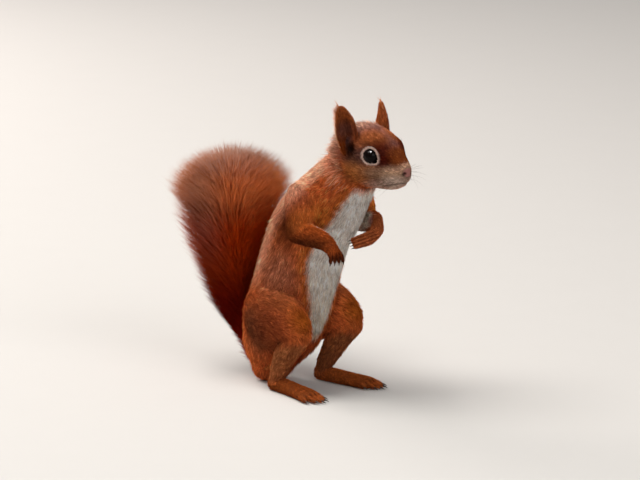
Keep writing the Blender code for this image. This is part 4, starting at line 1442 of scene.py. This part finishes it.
class SQUIRREL_OT_paw_fur(bpy.types.Operator):
    """Cover hands, feet and ears with the smallest locks"""
    bl_idname = "squirrel.paw_fur"
    bl_label = "Paw and ear fur"

    def execute(self, context):
        need("tree", "uv")
        lay_hair("coat_paws", part_weight("hand", "foot"), 0.55, seed=60, fleck=0.22, tip=0.4)
        lay_hair("coat_ears", part_weight("ear"), 0.50, seed=61, wide=0.12, fleck=0.15, tip=0.3,
                 rise=1.2)
        ear_fringe(800, seed=62)
        return {"FINISHED"}


class SQUIRREL_OT_tail_fur(bpy.types.Operator):
    """Fill the tail's brush with long locks"""
    bl_idname = "squirrel.tail_fur"
    bl_label = "Tail fur"

    def execute(self, context):
        tail_hair("coat_tail_outer", 14500, seed=70, reach=(0.88, 1.09), width=0.21)
        tail_hair("coat_tail_outline", 13500, seed=72, reach=(0.92, 1.03), width=0.235)
        tail_hair("coat_tail_inner", 10500, seed=71, reach=(0.52, 0.90), width=0.42)
        return {"FINISHED"}


class SQUIRREL_OT_details(bpy.types.Operator):
    """Grow the whiskers and give eyes and claws their finish"""
    bl_idname = "squirrel.details"
    bl_label = "Whiskers, eyes and claws"

    def execute(self, context):
        need("tree", "uv")
        whiskers(seed=90)
        wet = streaked("wet eye", 0.04, 0.06, 320.0, 2.0, (0.002, 0.0015, 0.0015),
                       (0.005, 0.0025, 0.002))
        eyeball("eye_left", wet)
        eyeball("eye_right", wet)
        horn = streaked("horn", 0.38, 0.15, 1500.0, 3.0, (0.020, 0.011, 0.007), (0.085, 0.048, 0.030))
        for name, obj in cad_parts.items():
            if name.startswith("claw_"):
                obj.data.materials.clear()
                obj.data.materials.append(horn)
        return {"FINISHED"}


class SQUIRREL_OT_stage(bpy.types.Operator):
    """Set up floor, lights and camera"""
    bl_idname = "squirrel.stage"
    bl_label = "Stage"

    def execute(self, context):
        scene = context.scene
        stage = scene.squirrel_stage
        level = math.cos(stage.elevation)
        right = Vector((math.cos(stage.azimuth), math.sin(stage.azimuth), 0.0))
        back = Vector((math.sin(stage.azimuth) * level, -math.cos(stage.azimuth) * level,
                       math.sin(stage.elevation)))
        up = back.cross(right)
        camera = put("camera", bpy.data.cameras.new("camera"))
        aim = right * CAMERA_AIM[0] + up * CAMERA_AIM[1]
        camera.matrix_world = Matrix.Translation(aim + back * stage.distance) @ Matrix(
            (right, up, back)).transposed().to_4x4()
        camera.data.lens = stage.lens
        scene.camera = camera
        floor = mesh_object("floor", [(-6, -6, 0), (6, -6, 0), (6, 6, 0), (-6, 6, 0)], [(0, 1, 2, 3)])
        floor.data.materials.append(streaked("floor", 0.9, 0.0, 30.0, 2.0,
                                             [0.985 * v for v in stage.floor], stage.floor))
        for name, (across, behind, height, size, watts, colour) in LAMPS.items():
            lamp(name, right * across + back * behind + Vector((0, 0, height)), size, watts, colour)
        above = Vector(HEAD_MIDDLE) + right * -0.12 + up * 0.86 + back * 0.36
        lamp("catch", above, 0.34, 70.0, (1.0, 1.0, 1.0)).visible_diffuse = False
        world = bpy.data.worlds.new("studio")
        world.use_nodes = True
        sky = world.node_tree.nodes["Background"]
        sky.inputs["Color"].default_value = (0.80, 0.81, 0.83, 1.0)
        sky.inputs["Strength"].default_value = 0.26
        scene.world = world
        scene.view_settings.view_transform = "Standard"
        return {"FINISHED"}


def lamp(name, spot, size, watts, colour):
    """A square soft light turned towards the middle of the animal."""
    data = bpy.data.lights.new(name, "AREA")
    data.size, data.energy, data.color = size, watts, colour
    light = put(name, data)
    way = (spot - Vector(BODY_MIDDLE)).to_track_quat("Z", "Y")
    light.matrix_world = Matrix.Translation(spot) @ way.to_matrix().to_4x4()
    return light


STEPS = (SQUIRREL_OT_skin, SQUIRREL_OT_body_fur, SQUIRREL_OT_head_fur, SQUIRREL_OT_paw_fur,
         SQUIRREL_OT_tail_fur, SQUIRREL_OT_details, SQUIRREL_OT_stage)


class SQUIRREL_PT_panel(bpy.types.Panel):
    """Buttons for each step and the settings"""
    bl_idname = "SQUIRREL_PT_panel"
    bl_label = "Red squirrel"
    bl_space_type = "VIEW_3D"
    bl_region_type = "UI"
    bl_category = "Squirrel"

    def draw(self, context):
        for step in STEPS:
            self.layout.operator(step.bl_idname)
        for group in GROUPS:
            box = self.layout.box()
            for name in GROUPS[group].__annotations__:
                box.prop(getattr(context.scene, group), name)


GROUPS = {"squirrel_coat": SquirrelCoat, "squirrel_colours": SquirrelColours,
          "squirrel_stage": SquirrelStage}


def register():
    """Register settings, operators and the panel."""
    for name, group in GROUPS.items():
        bpy.utils.register_class(group)
        setattr(bpy.types.Scene, name, bpy.props.PointerProperty(type=group))
    for step in STEPS + (SQUIRREL_PT_panel,):
        bpy.utils.register_class(step)


def unregister():
    """Undo register."""
    for step in reversed(STEPS + (SQUIRREL_PT_panel,)):
        bpy.utils.unregister_class(step)
    for name, group in GROUPS.items():
        delattr(bpy.types.Scene, name)
        bpy.utils.unregister_class(group)


def main():
    """Run every step in order."""
    register()
    bpy.ops.squirrel.skin()
    bpy.ops.squirrel.body_fur()
    bpy.ops.squirrel.head_fur()
    bpy.ops.squirrel.paw_fur()
    bpy.ops.squirrel.tail_fur()
    bpy.ops.squirrel.details()
    bpy.ops.squirrel.stage()


if __name__ == "__main__":
    main()
